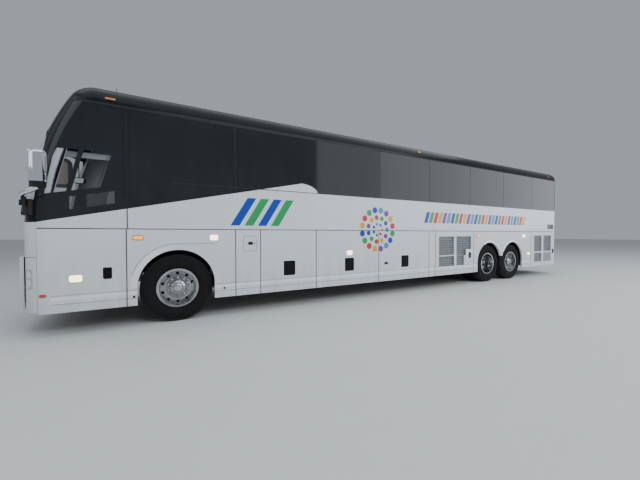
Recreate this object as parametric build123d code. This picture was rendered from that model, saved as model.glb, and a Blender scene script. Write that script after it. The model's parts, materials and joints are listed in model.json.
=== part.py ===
"""Three-axle highway coach bus, modelled in millimetres as separate closed pieces.

The origin lies on the ground under the middle of the coach. +X runs rearward, +Y to the
kerb side with the passenger door, and +Z up. Stations are distances behind the foremost
point of the body, and station_x turns one into X.
"""

from build123d import *
from math import atan2, cos, degrees, pi, radians, sin, sqrt
import os

# Overall body
BODY_LENGTH = 13757.0
HALF_WIDTH = 1295.0
SKIRT_Z = 318.0
BELT_SEAM_Z = 1432.0
ROOF_TOP_Z = 3445.0
GLASS_TOP_Z = ROOF_TOP_Z - 273.0
REAR_SEAM_S = BODY_LENGTH - 57.0

# Plan and profile of the body form
BOW_RADIUS = 3200.0
RAKE_LIMIT_Z = ROOF_TOP_Z - 165.0
OVER_TOP_Z = ROOF_TOP_Z + 555.0
CORNER_RADIUS = 300.0
REAR_CORNER_RADIUS = 120.0
RAKE_START_Z = 1400.0
RAKE_RADIUS = 4000.0
NOSE_RADIUS = 350.0
FORM_BOTTOM_Z = 200.0

# Walls, glass and gaps
WALL = 40.0
GLASS_THICKNESS = 7.6
FRAME_INSET = 8.0
FRAME_DEPTH = 40.0
SEAT_GAP = 0.5
PANEL_GAP = 0.6
SHUT_GAP = 6.0
RUNNING_GAP = 0.3

# Seams of the side panels, as stations. Those behind the luggage bays keep their distance
# from the tail, and the bays share what is left.
LEFT_CORNER_SEAM = 345.0
RIGHT_CORNER_SEAM = 556.0
ENTRY_REAR_SEAM = 1322.0
FRONT_DOOR_REAR_SEAM = 1322.0
FRONT_PANEL_REAR_SEAM = 2869.0
FUEL_PANEL_REAR_SEAM = 3301.0
LUGGAGE_REAR_SEAM = BODY_LENGTH - 6233.0
LUGGAGE_RUN = LUGGAGE_REAR_SEAM - FUEL_PANEL_REAR_SEAM
LUGGAGE_SEAM_1 = FUEL_PANEL_REAR_SEAM + 0.2621 * LUGGAGE_RUN
LUGGAGE_SEAM_2 = FUEL_PANEL_REAR_SEAM + 0.6282 * LUGGAGE_RUN
NARROW_PANEL_REAR_SEAM = BODY_LENGTH - 6007.0
GRILLE_DOOR_REAR_SEAM = BODY_LENGTH - 4498.0
REAR_DOOR_FRONT_SEAM = BODY_LENGTH - 1580.0

# Skirt moulding and arch crease
MOULDING_TOP_Z = 545.0
MOULDING_LOW_Z = 455.0
MOULDING_LINE_Z = 430.0
MOULDING_DEPTH = 9.0
MOULDING_START_S = 480.0
FLARE_RADIUS = 630.0
FLARE_WIDTH = 9.0
FLARE_DEPTH = 4.0
FLARE_START_RISE = 184.0
FLARE_END_S = 2544.0

# Side glass
DRIVER_PANE_SEAM = 1336.0
SECOND_PANE_SEAM = 2868.0
LAST_PANE_SEAM = BODY_LENGTH - 1568.0
PANE_BAYS = 6
PANE_PITCH = (LAST_PANE_SEAM - SECOND_PANE_SEAM) / PANE_BAYS
PANE_SEAMS = [DRIVER_PANE_SEAM, *[SECOND_PANE_SEAM + PANE_PITCH * bay for bay in range(PANE_BAYS + 1)]]
PILLAR_WIDTH = 190.0
SILL_LAP = 45.0
HEADER_LAP = 60.0
GLASS_LINE_START_Z = 1512.0
GLASS_LINE_END_S = 3287.0
GLASS_LINE_END_Z = 2130.0

# Windscreen and front
WINDSCREEN_BOTTOM_Z = 1512.0
BUMPER_TOP_Z = 1056.0
BUMPER_BOTTOM_Z = 340.0
BUMPER_RADIUS = 4500.0
BUMPER_CORNER_Y = 1075.0
BUMPER_SIDE_GAP = 26.0
INTAKE_HALF_WIDTH = 650.0
LOWER_INTAKE = (400.0, 520.0)
UPPER_INTAKE = (560.0, 640.0)
PLATE_SEAT_HALF_WIDTH = 165.0
PLATE_SEAT_HALF_HEIGHT = 84.0
PLATE_SEAT_DEPTH = 3.2

# Lamps, as (nearest side distance, furthest side distance, bottom, top)
HEADLAMP = (1098.0, 1236.0, 640.0, 905.0)
TAIL_LAMP = (930.0, 1120.0, 700.0, 1330.0)
LAMP_CORNER = 28.0

# Roof hatches
HATCH_STATIONS = (3600.0, BODY_LENGTH - 3157.0)
HATCH_LENGTH = 620.0
HATCH_WIDTH = 620.0
HATCH_RISE = 30.0
HATCH_LIP = 30.0
ROOF_COVE_Y = 1000.0
FRONT_CAP_REAR_S = 1350.0
REAR_CAP_LENGTH = 300.0
ROOF_CUT_LOW_Z = GLASS_TOP_Z - 200.0
ROOF_CUT_TOP_Z = ROOF_TOP_Z + 500.0

# Floors and frame
DECK_TOP_Z = 1400.0
DECK_THICKNESS = 40.0
PLATFORM_TOP_Z = 900.0
PLATFORM_THICKNESS = 40.0
PAN_BOTTOM_Z = 330.0
PAN_THICKNESS = 40.0
FRONT_PAN_BOTTOM_Z = 345.0
BULKHEAD = 40.0
FRONT_BULKHEAD_S = 1315.0
STAIR_INNER_Y = 560.0
STAIR_FRONT_S = 596.0
STEP_GOING = 230.0
AISLE_STEP_GOING = 270.0
AISLE_STEP_Y = (-290.0, 490.0)
COWL_REAR_S = 330.0
COWL_TOP_Z = 1482.0
COWL_THICKNESS = 30.0
SCREEN_S = 170.0
SCREEN_HALF_WIDTH = 900.0
BEAM_INNER_Y = 380.0
BEAM_WIDTH = 60.0
BEAM_BOTTOM_Z = 760.0
BEAM_HEIGHT = 100.0
PLATFORM_POST_STATIONS = (90.0, 730.0)
PLATFORM_POST_Y = (-600.0, 300.0)
REAR_POST_Y = (845.0, 925.0)
REAR_POST_DEPTH = 80.0
LEFT_HINGE_ROOM = 14.0
RIGHT_HINGE_ROOM = 8.0
REAR_SILL_TOP_Z = 430.0
ENGINE_FRONT = 1457.0
ENGINE_REAR = 357.0
ENGINE_BOTTOM_Z = 480.0
ENGINE_TOP_Z = 1250.0
ENGINE_CHAMFER = 60.0

# Wheels and axles
FRONT_AXLE_S = 1990.0
TAG_AXLE_S = BODY_LENGTH - 2626.0
DRIVE_AXLE_S = TAG_AXLE_S - 1150.0
AXLE_Z = 520.0
TYRE_RADIUS = 520.0
TYRE_WIDTH = 290.0
BEAD_RADIUS = 288.0
HAND_HOLES = 10
HAND_HOLE_RADIUS = 24.0
HAND_HOLE_CIRCLE = 222.0
FLANGE_HEIGHT = 13.0
DRIVE_SPINDLE_END_Y = 1020.0
FRONT_SPINDLE_END_Y = 1155.0
WHEEL_CENTRE_Y = 1100.0
TWIN_GAP = 40.0
ARCH_RADIUS = 540.0
ARCH_CENTRE_Z = 575.0
ARCH_BRIDGE_Z = 724.0
WELL_TOP_Z = 1160.0
WELL_PLATE = 12.0
WELL_BOTTOM_Z = 700.0
FRONT_WELL_HALF = 655.0
FRONT_WELL_INNER_Y = 495.0
REAR_WELL_INNER_Y = 555.0
KINGPIN_Y = 930.0
KINGPIN_RADIUS = 25.0
SPINDLE_RADIUS = 40.0
KINGPIN_BOSS_Z = (AXLE_Z - 120.0, AXLE_Z - 20.0)
KINGPIN_BOSS_RADIUS = 55.0
FRONT_BEAM_HALF = 50.0
FRONT_SPRING_RADIUS = 50.0
REAR_SPRING_RADIUS = 60.0
DRIVE_TUBE_RADIUS = 85.0
TAG_TUBE_RADIUS = 65.0
DIFFERENTIAL_RADIUS = 190.0

# Licence plate holes
PLATE_HOLE_PITCH = 178.0
PLATE_HOLE_RADIUS = 3.5
FRONT_PLATE_Z = 720.0
REAR_PLATE_Z = 500.0

# Engine and rear
ENGINE_DOOR_HALF_WIDTH = 800.0
ENGINE_DOOR_BOTTOM_Z = 640.0
ENGINE_DOOR_TOP_Z = 1520.0
ENGINE_GRILLE_MARGIN = 115.0
ENGINE_GRILLE_BAR = 120.0

HALF_LENGTH = BODY_LENGTH / 2


def station_x(station):
    """X of a station."""
    return station - HALF_LENGTH


def block(s0, s1, y0, y1, z0, z1):
    """Box between two stations, two sides and two heights."""
    centre = ((station_x(s0) + station_x(s1)) / 2, (y0 + y1) / 2, (z0 + z1) / 2)
    return Pos(*centre) * Box(s1 - s0, y1 - y0, z1 - z0)


def side_prism(points, y0, y1):
    """Prism across Y over a list of (station, height) corners."""
    corners = [(station_x(s), z) for s, z in points]
    face = make_face(Polyline(*corners, close=True))
    return Pos(0, y1, 0) * extrude(Plane.XZ * face, y1 - y0)


def other_side(shape):
    """The same shape on the kerb side."""
    return mirror(shape, about=Plane.XZ)


def nose_profile(inset):
    """Centre-line profile of the front, as a face that reaches back to the bow's own axis."""
    radius = RAKE_RADIUS - inset
    nose_radius = NOSE_RADIUS - inset
    nose_z = ROOF_TOP_Z - NOSE_RADIUS
    reach = RAKE_RADIUS - NOSE_RADIUS
    nose_s = RAKE_RADIUS - sqrt(reach**2 - (nose_z - RAKE_START_Z) ** 2)
    nose_start = atan2((nose_z - RAKE_START_Z) / reach, (nose_s - RAKE_RADIUS) / reach)
    rake_middle = (nose_start + pi) / 2
    nose_middle = (nose_start + pi / 2) / 2

    def rake_point(angle):
        return (station_x(RAKE_RADIUS + radius * cos(angle)), RAKE_START_Z + radius * sin(angle))

    def nose_point(angle):
        return (station_x(nose_s + nose_radius * cos(angle)), nose_z + nose_radius * sin(angle))

    foot = (station_x(inset), FORM_BOTTOM_Z)
    back_foot = (station_x(BOW_RADIUS), FORM_BOTTOM_Z)
    back_top = (station_x(BOW_RADIUS), ROOF_TOP_Z - inset)
    outline = [
        Line(foot, rake_point(pi)),
        ThreePointArc(rake_point(pi), rake_point(rake_middle), rake_point(nose_start)),
        ThreePointArc(nose_point(nose_start), nose_point(nose_middle), nose_point(pi / 2)),
        Line(nose_point(pi / 2), back_top),
        Line(back_top, back_foot),
        Line(back_foot, foot),
    ]
    return Plane.XZ * make_face(outline)


def rake_offset(z):
    """How far the raked front lies behind its foot at a height."""
    return RAKE_RADIUS - sqrt(RAKE_RADIUS**2 - (z - RAKE_START_Z) ** 2)


def body_form(inset):
    """The whole body as one solid, set in from the outer skin by the inset."""
    bow_axis = Axis((station_x(BOW_RADIUS), 0, 0), (0, 0, 1))
    half = HALF_WIDTH - inset
    top = ROOF_TOP_Z - inset
    rear = BODY_LENGTH - inset
    bow = revolve(nose_profile(inset), bow_axis, 360)
    front = bow & block(-100, BOW_RADIUS, -half, half, FORM_BOTTOM_Z, top + 100)
    body = front + block(BOW_RADIUS, rear, -half, half, FORM_BOTTOM_Z, top)
    corners = [
        edge
        for edge in body.edges()
        if abs(abs(edge.center().Y) - half) < 1
        and (edge.center().X < station_x(BOW_RADIUS) or edge.center().Z > top - 1)
        and edge.center().X < station_x(rear) - 1
        and edge.center().Z > FORM_BOTTOM_Z + 1
    ]
    body = fillet(corners, CORNER_RADIUS - inset)
    tail = [
        edge
        for edge in body.edges()
        if edge.center().X > station_x(rear) - 1 and edge.center().Z > FORM_BOTTOM_Z + 1
    ]
    return fillet(tail, REAR_CORNER_RADIUS - inset)


OUTER = body_form(0)
SKIN = OUTER - body_form(WALL)
GLASS = OUTER - body_form(GLASS_THICKNESS)
FRAME = body_form(FRAME_INSET) - body_form(FRAME_INSET + FRAME_DEPTH)
INSIDE = body_form(WALL + SEAT_GAP)

ALL_Y = HALF_WIDTH + 100
SKIN_INNER_Y = HALF_WIDTH - WALL
INSIDE_Y = SKIN_INNER_Y - SEAT_GAP
LEFT = -1
RIGHT = 1


def skirt_grooves():
    """Cutter for the skirt's moulding: a long chamfered groove and a thin one under it."""
    y = HALF_WIDTH
    band = [
        (y + 2, MOULDING_TOP_Z), (y - MOULDING_DEPTH, MOULDING_TOP_Z - MOULDING_DEPTH),
        (y, MOULDING_LOW_Z), (y + 2, MOULDING_LOW_Z),
    ]
    line = [
        (y + 2, MOULDING_LINE_Z + 8), (y - 5, MOULDING_LINE_Z), (y + 2, MOULDING_LINE_Z - 8),
    ]
    start = station_x(MOULDING_START_S)
    length = REAR_SEAM_S - REAR_CORNER_RADIUS - MOULDING_START_S
    cutter = None
    for outline in (band, line):
        face = Plane.YZ * make_face(Polyline(*outline, close=True))
        groove = Pos(start, 0, 0) * extrude(face, length)
        cutter = groove if cutter is None else cutter + groove
    return cutter + other_side(cutter)


def flare_groove():
    """Cutter for the crease that runs around the front arch and on rearward, on both sides."""
    ring = Cylinder(FLARE_RADIUS + FLARE_WIDTH, 2 * FLARE_DEPTH) - Cylinder(FLARE_RADIUS, 2 * FLARE_DEPTH)
    ring = Pos(station_x(FRONT_AXLE_S), HALF_WIDTH, ARCH_CENTRE_Z) * Rot(90, 0, 0) * ring
    quarter = block(
        FRONT_AXLE_S - FLARE_RADIUS - 50, FRONT_AXLE_S, HALF_WIDTH - 50, HALF_WIDTH + 50,
        ARCH_CENTRE_Z + FLARE_START_RISE, ARCH_CENTRE_Z + FLARE_RADIUS + 50,
    )
    straight = block(
        FRONT_AXLE_S - 1, FLARE_END_S, HALF_WIDTH - FLARE_DEPTH, HALF_WIDTH + FLARE_DEPTH,
        ARCH_CENTRE_Z + FLARE_RADIUS, ARCH_CENTRE_Z + FLARE_RADIUS + FLARE_WIDTH,
    )
    groove = (ring & quarter) + straight
    return groove + other_side(groove)


def side_block(side, s0, s1, z0, z1):
    """Cutting box over one side of the coach."""
    if side == LEFT:
        return block(s0, s1, -ALL_Y, 0, z0, z1)
    return block(s0, s1, 0, ALL_Y, z0, z1)


def half_prism(side, points):
    """Prism over one side of the coach from (station, height) corners."""
    if side == LEFT:
        return side_prism(points, -ALL_Y, 0)
    return side_prism(points, 0, ALL_Y)


def arch_cutter(centre_s):
    """Wheel arch opening through both sides: a round top on straight sides."""
    disc = Pos(station_x(centre_s), 0, ARCH_CENTRE_Z) * Rot(90, 0, 0) * Cylinder(
        ARCH_RADIUS, 2 * ALL_Y
    )
    legs = block(centre_s - ARCH_RADIUS, centre_s + ARCH_RADIUS, -ALL_Y, ALL_Y, 0, ARCH_CENTRE_Z)
    return disc + legs


SKIRT_GROOVES = skirt_grooves()
LOWER_SKIN = SKIN - SKIRT_GROOVES
FRONT_ARCH = arch_cutter(FRONT_AXLE_S)
REAR_ARCHES = (
    arch_cutter(DRIVE_AXLE_S)
    + arch_cutter(TAG_AXLE_S)
    + block(DRIVE_AXLE_S, TAG_AXLE_S, -ALL_Y, ALL_Y, 0, ARCH_BRIDGE_Z)
)


def glass_line_z(station):
    """Height of the lower edge of the dark glass at a station."""
    slope = (GLASS_LINE_END_Z - GLASS_LINE_START_Z) / (GLASS_LINE_END_S - LEFT_CORNER_SEAM)
    if station >= GLASS_LINE_END_S:
        return GLASS_LINE_END_Z
    return GLASS_LINE_START_Z + slope * (station - LEFT_CORNER_SEAM)


def line_points(s0, s1, offset):
    """Corners along the glass line from one station to another, moved up by an offset."""
    points = [(s0, glass_line_z(s0) + offset)]
    if s0 < GLASS_LINE_END_S < s1:
        points.append((GLASS_LINE_END_S, GLASS_LINE_END_Z + offset))
    points.append((s1, glass_line_z(s1) + offset))
    return points


def corner_skin_y(station):
    """Distance of the outer skin from the middle at a station on the front corner."""
    centre_y = HALF_WIDTH - CORNER_RADIUS
    centre_s = BOW_RADIUS - sqrt((BOW_RADIUS - CORNER_RADIUS) ** 2 - centre_y**2)
    return centre_y + sqrt(CORNER_RADIUS**2 - (centre_s - station) ** 2)


def corner_seam(side):
    """Station of the corner seam of a side, below the rake."""
    return LEFT_CORNER_SEAM if side == LEFT else RIGHT_CORNER_SEAM


def ahead_of_seam(side, shift, low=0.0, high=RAKE_LIMIT_Z):
    """Cutting shape over one side ahead of its corner seam, which follows the front's rake."""
    seam = corner_seam(side) + shift
    middle_z = (RAKE_START_Z + RAKE_LIMIT_Z) / 2
    knee = (station_x(seam), RAKE_START_Z)
    on_arc = (station_x(seam + rake_offset(middle_z)), middle_z)
    tip = (station_x(seam + rake_offset(RAKE_LIMIT_Z)), RAKE_LIMIT_Z)
    ahead = station_x(-100)
    outline = [
        Line((ahead, 0), (station_x(seam), 0)),
        Line((station_x(seam), 0), knee),
        ThreePointArc(knee, on_arc, tip),
        Line(tip, (ahead, RAKE_LIMIT_Z)),
        Line((ahead, RAKE_LIMIT_Z), (ahead, 0)),
    ]
    prism = extrude(Plane.XZ * make_face(outline), ALL_Y)
    prism = prism if side == LEFT else other_side(prism)
    return prism & side_block(side, -100, 2000, low, high)


def side_start(side):
    """Station where the belt wall and the window band of a side begin."""
    return LEFT_CORNER_SEAM if side == LEFT else ENTRY_REAR_SEAM


def pane_edges(side):
    """Stations of the seams between the panes of a side."""
    start = side_start(side)
    return [start, *[seam for seam in PANE_SEAMS if seam > start + PILLAR_WIDTH], REAR_SEAM_S]


def side_wall(side):
    """Belt wall with its window posts, and the fixed lower panels of one side."""
    start = side_start(side) + PANEL_GAP
    end = REAR_SEAM_S - PANEL_GAP
    lower_edge = BELT_SEAM_Z + PANEL_GAP
    belt = SKIN & half_prism(side, [(start, lower_edge), *line_points(start, end, 0), (end, lower_edge)])
    band = FRAME & half_prism(
        side, [*line_points(start, end, -1.0), (end, GLASS_TOP_Z), (start, GLASS_TOP_Z)]
    )
    header_z = GLASS_TOP_Z - HEADER_LAP
    edges = pane_edges(side)
    for first, second in zip(edges, edges[1:]):
        front_edge = first + PILLAR_WIDTH / 2
        back_edge = second - PILLAR_WIDTH / 2
        lower = line_points(front_edge, back_edge, SILL_LAP)
        corners = [*lower, (back_edge, header_z), (front_edge, header_z)]
        if first == LEFT_CORNER_SEAM:
            lean = rake_offset(header_z)
            foot = (front_edge + rake_offset(lower[0][1]), lower[0][1])
            corners = [foot, *lower[1:], (back_edge, header_z), (front_edge + lean, header_z)]
        band = band - half_prism(side, corners)
    opening, slats = louvre_grille(side, *UPPER_GRILLE)
    belt = belt - opening
    for slat in slats:
        belt = belt + slat
    wall = belt + band
    walls = [wall]
    if side == LEFT:
        wall = wall - ahead_of_seam(side, PANEL_GAP)
        ahead = block(0, DRIVER_PANE_SEAM - SEAT_GAP / 2, -ALL_Y, ALL_Y, 0, RAKE_LIMIT_Z)
        behind = block(DRIVER_PANE_SEAM + SEAT_GAP / 2, BODY_LENGTH, -ALL_Y, ALL_Y, 0, RAKE_LIMIT_Z)
        walls = [wall & ahead, wall & behind]
    arch_panel = LOWER_SKIN & side_block(
        side, FRONT_DOOR_REAR_SEAM + PANEL_GAP, FRONT_PANEL_REAR_SEAM - SHUT_GAP / 2, SKIRT_Z, BELT_SEAM_Z
    )
    fuel_panel = LOWER_SKIN & side_block(
        side, FRONT_PANEL_REAR_SEAM + SHUT_GAP / 2, FUEL_PANEL_REAR_SEAM - SHUT_GAP / 2,
        SKIRT_Z, BELT_SEAM_Z,
    )
    narrow = LOWER_SKIN & side_block(
        side, LUGGAGE_REAR_SEAM + SHUT_GAP / 2, NARROW_PANEL_REAR_SEAM - SHUT_GAP / 2,
        SKIRT_Z, BELT_SEAM_Z,
    )
    rear_panel = LOWER_SKIN & side_block(
        side, GRILLE_DOOR_REAR_SEAM + SHUT_GAP / 2, REAR_DOOR_FRONT_SEAM - SHUT_GAP / 2,
        SKIRT_Z, BELT_SEAM_Z,
    )
    arch_panel = arch_panel - FRONT_ARCH - flare_groove()
    return [*walls, arch_panel, fuel_panel, narrow, rear_panel - REAR_ARCHES]


def side_panes(side):
    """Flush panes of one side, each a solid of its own."""
    edges = pane_edges(side)
    panes = []
    for first, second in zip(edges, edges[1:]):
        s0 = first + PANEL_GAP
        s1 = second - PANEL_GAP
        pane = GLASS & half_prism(
            side, [*line_points(s0, s1, PANEL_GAP), (s1, GLASS_TOP_Z), (s0, GLASS_TOP_Z)]
        )
        if first == LEFT_CORNER_SEAM:
            pane = pane - ahead_of_seam(side, PANEL_GAP)
        panes.append(pane)
    return panes


def louvre_grille(side, s0, s1, z0, z1):
    """Opening and slats of a louvred grille in a door."""
    opening = side_block(side, s0, s1, z0, z1)
    pitch = LOUVRE_PITCH
    count = int((z1 - z0) / pitch)
    slats = []
    for index in range(count):
        z = z0 + pitch * (index + 0.5)
        slat = Box(s1 - s0 + 2, LOUVRE_DEPTH, LOUVRE_THICKNESS)
        tilt = LOUVRE_TILT if side == LEFT else -LOUVRE_TILT
        y = side * (HALF_WIDTH - LOUVRE_INSET - LOUVRE_DEPTH / 2)
        slats.append(Pos((station_x(s0) + station_x(s1)) / 2, y, z) * Rot(tilt, 0, 0) * slat)
    return opening, slats


LOUVRE_PITCH = 60.0
LOUVRE_DEPTH = 30.0
LOUVRE_THICKNESS = 5.0
LOUVRE_TILT = 35.0
LOUVRE_INSET = 6.0

# Grilles of the two doors, as (front edge and rear edge behind the door's front seam, bottom, top)
MIDDLE_GRILLES = (
    (132.0, 702.0, 821.0, 1292.0),
    (795.0, 1399.0, 797.0, 1294.0),
    (132.0, 1110.0, 536.0, 790.0),
)
REAR_GRILLES = (
    (183.0, 652.0, 795.0, 1307.0),
    (772.0, 1263.0, 795.0, 1307.0),
    (197.0, 661.0, 465.0, 745.0),
)

UPPER_GRILLE = (BODY_LENGTH - 570.0, BODY_LENGTH - 169.0, 1521.0, 1675.0)

HANDLE_DEPTH = 14.0


def door_panel(side, first, last, z0, z1, grilles=()):
    """Door leaf as thick as the wall between two seams, with any louvred grilles in it."""
    leaf = LOWER_SKIN & side_block(side, first + SHUT_GAP / 2, last - SHUT_GAP / 2, z0, z1)
    for front, rear, low, high in grilles:
        opening, slats = louvre_grille(side, first + front, first + rear, low, high)
        leaf = leaf - opening
        for slat in slats:
            leaf = leaf + slat
    return leaf


def handle_recess(leaf, side, s0, s1, z0, z1):
    """Leaf with a shallow recess and the paddle that lies in it."""
    edge = HALF_WIDTH - HANDLE_DEPTH
    y0, y1 = (-ALL_Y, -edge) if side == LEFT else (edge, ALL_Y)
    leaf = leaf - block(s0, s1, y0, y1, z0, z1)
    middle_z = (z0 + z1) / 2
    inset = (s1 - s0) * 0.2
    y0, y1 = (-HALF_WIDTH + 2, -edge) if side == LEFT else (edge, HALF_WIDTH - 2)
    paddle = block(s0 + inset, s1 - inset, y0, y1, middle_z - 20, z1 - 15)
    return leaf + paddle


def lower_door(side, first, last, handle, grilles=()):
    """Top-hinged lower door between two seams, with its recessed handle."""
    leaf = door_panel(side, first, last, SKIRT_Z, BELT_SEAM_Z - SHUT_GAP / 2, grilles)
    front, rear, low, high = handle
    return handle_recess(leaf, side, first + front, first + rear, low, high)


# Recessed handles, as (front edge and rear edge behind the door's front seam, bottom, top)
LUGGAGE_HANDLE_1 = (433.0, 664.0, 599.0, 867.0)
LUGGAGE_HANDLE_2 = (664.0, 891.0, 599.0, 867.0)
LUGGAGE_HANDLE_3 = (666.0, 896.0, 599.0, 867.0)
MIDDLE_HANDLE = (1190.0, 1484.0, 609.0, 780.0)
REAR_HANDLE = (1342.0, 1456.0, 700.0, 850.0)

# Handle of the front service door and the fuel flap, as (first station, last station, bottom, top)
SERVICE_HANDLE = (1042.0, 1148.0, 730.0, 894.0)
FUEL_FLAP = (3004.0, 3228.0, 1069.0, 1319.0)
FLAP_THICKNESS = 4.0


def roof_panels():
    """Front cap, two coves, the middle panel with its hatch openings, and the rear cap."""
    shell = SKIN & block(-10, BODY_LENGTH + 10, -ALL_Y, ALL_Y, GLASS_TOP_Z + PANEL_GAP, OVER_TOP_Z)
    first = FRONT_CAP_REAR_S + SEAT_GAP
    last = BODY_LENGTH - REAR_CAP_LENGTH - SEAT_GAP
    middle = shell & block(first, last, -ROOF_COVE_Y, ROOF_COVE_Y, ROOF_CUT_LOW_Z, ROOF_CUT_TOP_Z)
    for hatch in HATCH_STATIONS:
        middle = middle - block(
            hatch, hatch + HATCH_LENGTH, -HATCH_WIDTH / 2, HATCH_WIDTH / 2, ROOF_CUT_LOW_Z, ROOF_CUT_TOP_Z
        )
    cove = shell & block(first, last, ROOF_COVE_Y + SEAT_GAP, ALL_Y, ROOF_CUT_LOW_Z, ROOF_CUT_TOP_Z)
    tail_s = BODY_LENGTH - REAR_CAP_LENGTH
    return [
        shell & block(-10, FRONT_CAP_REAR_S, -ALL_Y, ALL_Y, ROOF_CUT_LOW_Z, ROOF_CUT_TOP_Z),
        other_side(cove),
        cove,
        middle,
        shell & block(tail_s, BODY_LENGTH + 10, -ALL_Y, ALL_Y, ROOF_CUT_LOW_Z, ROOF_CUT_TOP_Z),
    ]


def hatch_lid(station):
    """Roof hatch lid: a plate with a rim that hangs in the roof's opening."""
    gap = SHUT_GAP
    half = HATCH_WIDTH / 2
    lid = block(
        station - HATCH_LIP, station + HATCH_LENGTH + HATCH_LIP, -half - HATCH_LIP, half + HATCH_LIP,
        ROOF_TOP_Z + SEAT_GAP, ROOF_TOP_Z + HATCH_RISE,
    )
    lid = fillet(lid.edges().filter_by(Axis.Z), 40)
    lid = chamfer(lid.faces().sort_by(Axis.Z)[-1].edges(), 15)
    rim = block(
        station + gap, station + HATCH_LENGTH - gap, -half + gap, half - gap,
        ROOF_TOP_Z - 20, ROOF_TOP_Z + SEAT_GAP + 1,
    )
    return lid + rim


def plate_holes(station, z):
    """Two bolt holes for a licence plate, through the skin at one end of the coach."""
    holes = []
    for y in (-PLATE_HOLE_PITCH / 2, PLATE_HOLE_PITCH / 2):
        holes.append(Pos(station_x(station), y, z) * Rot(0, 90, 0) * Cylinder(PLATE_HOLE_RADIUS, 200))
    return holes[0] + holes[1]


def front_region(low, high):
    """Cutting shape over the front as far back as the corner seams, between two heights."""
    left = ahead_of_seam(LEFT, -PANEL_GAP, low, high)
    right = ahead_of_seam(RIGHT, -PANEL_GAP, low, high)
    return left + right


def lamp_region(side, s0, s1, lamp, grow=0.0):
    """Round-cornered cutting shape for a lamp, from its four edges, seen along the coach."""
    y0, y1, z0, z1 = lamp
    region = block(s0, s1, y0 - grow, y1 + grow, z0 - grow, z1 + grow)
    region = fillet(region.edges().filter_by(Axis.X), LAMP_CORNER + grow)
    return region if side == RIGHT else other_side(region)


def headlamps():
    """Headlamp units, flush in the bumper's corners and as thick as they are."""
    units = SKIN & front_region(BUMPER_BOTTOM_Z, BUMPER_TOP_Z)
    return [units & lamp_region(side, -10, 800, HEADLAMP) for side in (LEFT, RIGHT)]


def tail_lamps():
    """Upright tail lamp units, flush in the rear face."""
    return [
        SKIN & lamp_region(side, BODY_LENGTH - 300, BODY_LENGTH + 10, TAIL_LAMP) for side in (LEFT, RIGHT)
    ]


def front_body():
    """Bumper, front panel and the frame behind the windscreen."""
    top = BUMPER_TOP_Z - SHUT_GAP / 2
    corners = SKIN & front_region(BUMPER_BOTTOM_Z, top)
    corners = corners - block(-100, 800, -BUMPER_CORNER_Y, BUMPER_CORNER_Y, 0, 2000)
    for side in (LEFT, RIGHT):
        corners = corners - lamp_region(side, -10, 800, HEADLAMP, PANEL_GAP)
    centre_axis = Pos(station_x(BUMPER_RADIUS), 0, (top + BUMPER_BOTTOM_Z) / 2)
    depth = top - BUMPER_BOTTOM_Z
    bumper = centre_axis * (
        Cylinder(BUMPER_RADIUS, depth) - Cylinder(BUMPER_RADIUS - WALL, depth)
    )
    half = BUMPER_CORNER_Y - BUMPER_SIDE_GAP
    bumper = bumper & block(-10, 800, -half, half, 0, 2000)
    bumper = bumper - block(-10, 400, -INTAKE_HALF_WIDTH, INTAKE_HALF_WIDTH, *LOWER_INTAKE)
    bumper = bumper - block(-10, 400, -INTAKE_HALF_WIDTH, INTAKE_HALF_WIDTH, *UPPER_INTAKE)
    bumper = bumper - block(
        -10, PLATE_SEAT_DEPTH, -PLATE_SEAT_HALF_WIDTH, PLATE_SEAT_HALF_WIDTH,
        FRONT_PLATE_Z - PLATE_SEAT_HALF_HEIGHT, FRONT_PLATE_Z + PLATE_SEAT_HALF_HEIGHT,
    )
    bumper = bumper - plate_holes(0, FRONT_PLATE_Z)
    panel = SKIN & front_region(BUMPER_TOP_Z + SHUT_GAP / 2, WINDSCREEN_BOTTOM_Z - PANEL_GAP)
    frame = FRAME & front_region(WINDSCREEN_BOTTOM_Z, GLASS_TOP_Z)
    window = block(-100, 900, -HALF_WIDTH + 170, HALF_WIDTH - 170,
                   WINDSCREEN_BOTTOM_Z + SILL_LAP, GLASS_TOP_Z - HEADER_LAP)
    frame = frame - window
    return [corners, bumper, panel, frame]


def windscreen():
    """Two curved panes that meet at the middle."""
    split = block(-100, ENTRY_REAR_SEAM, -PANEL_GAP / 2, PANEL_GAP / 2, 0, OVER_TOP_Z)
    left = ahead_of_seam(LEFT, -PANEL_GAP, WINDSCREEN_BOTTOM_Z, GLASS_TOP_Z)
    right = ahead_of_seam(RIGHT, -PANEL_GAP, WINDSCREEN_BOTTOM_Z, GLASS_TOP_Z)
    return [(GLASS & left) - split, (GLASS & right) - split]


def rear_body():
    """Rear face and corners, with the opening of the engine door."""
    rear = SKIN & block(REAR_SEAM_S + PANEL_GAP, BODY_LENGTH + 10, -ALL_Y, ALL_Y,
                        SKIRT_Z, GLASS_TOP_Z)
    rear = rear - plate_holes(BODY_LENGTH, REAR_PLATE_Z)
    for side in (LEFT, RIGHT):
        rear = rear - lamp_region(side, BODY_LENGTH - 300, BODY_LENGTH + 10, TAIL_LAMP, PANEL_GAP)
    half = ENGINE_DOOR_HALF_WIDTH + SHUT_GAP / 2
    return [rear - block(BODY_LENGTH - 300, BODY_LENGTH + 10, -half, half,
                         ENGINE_DOOR_BOTTOM_Z - SHUT_GAP / 2, ENGINE_DOOR_TOP_Z + SHUT_GAP / 2)]


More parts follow.
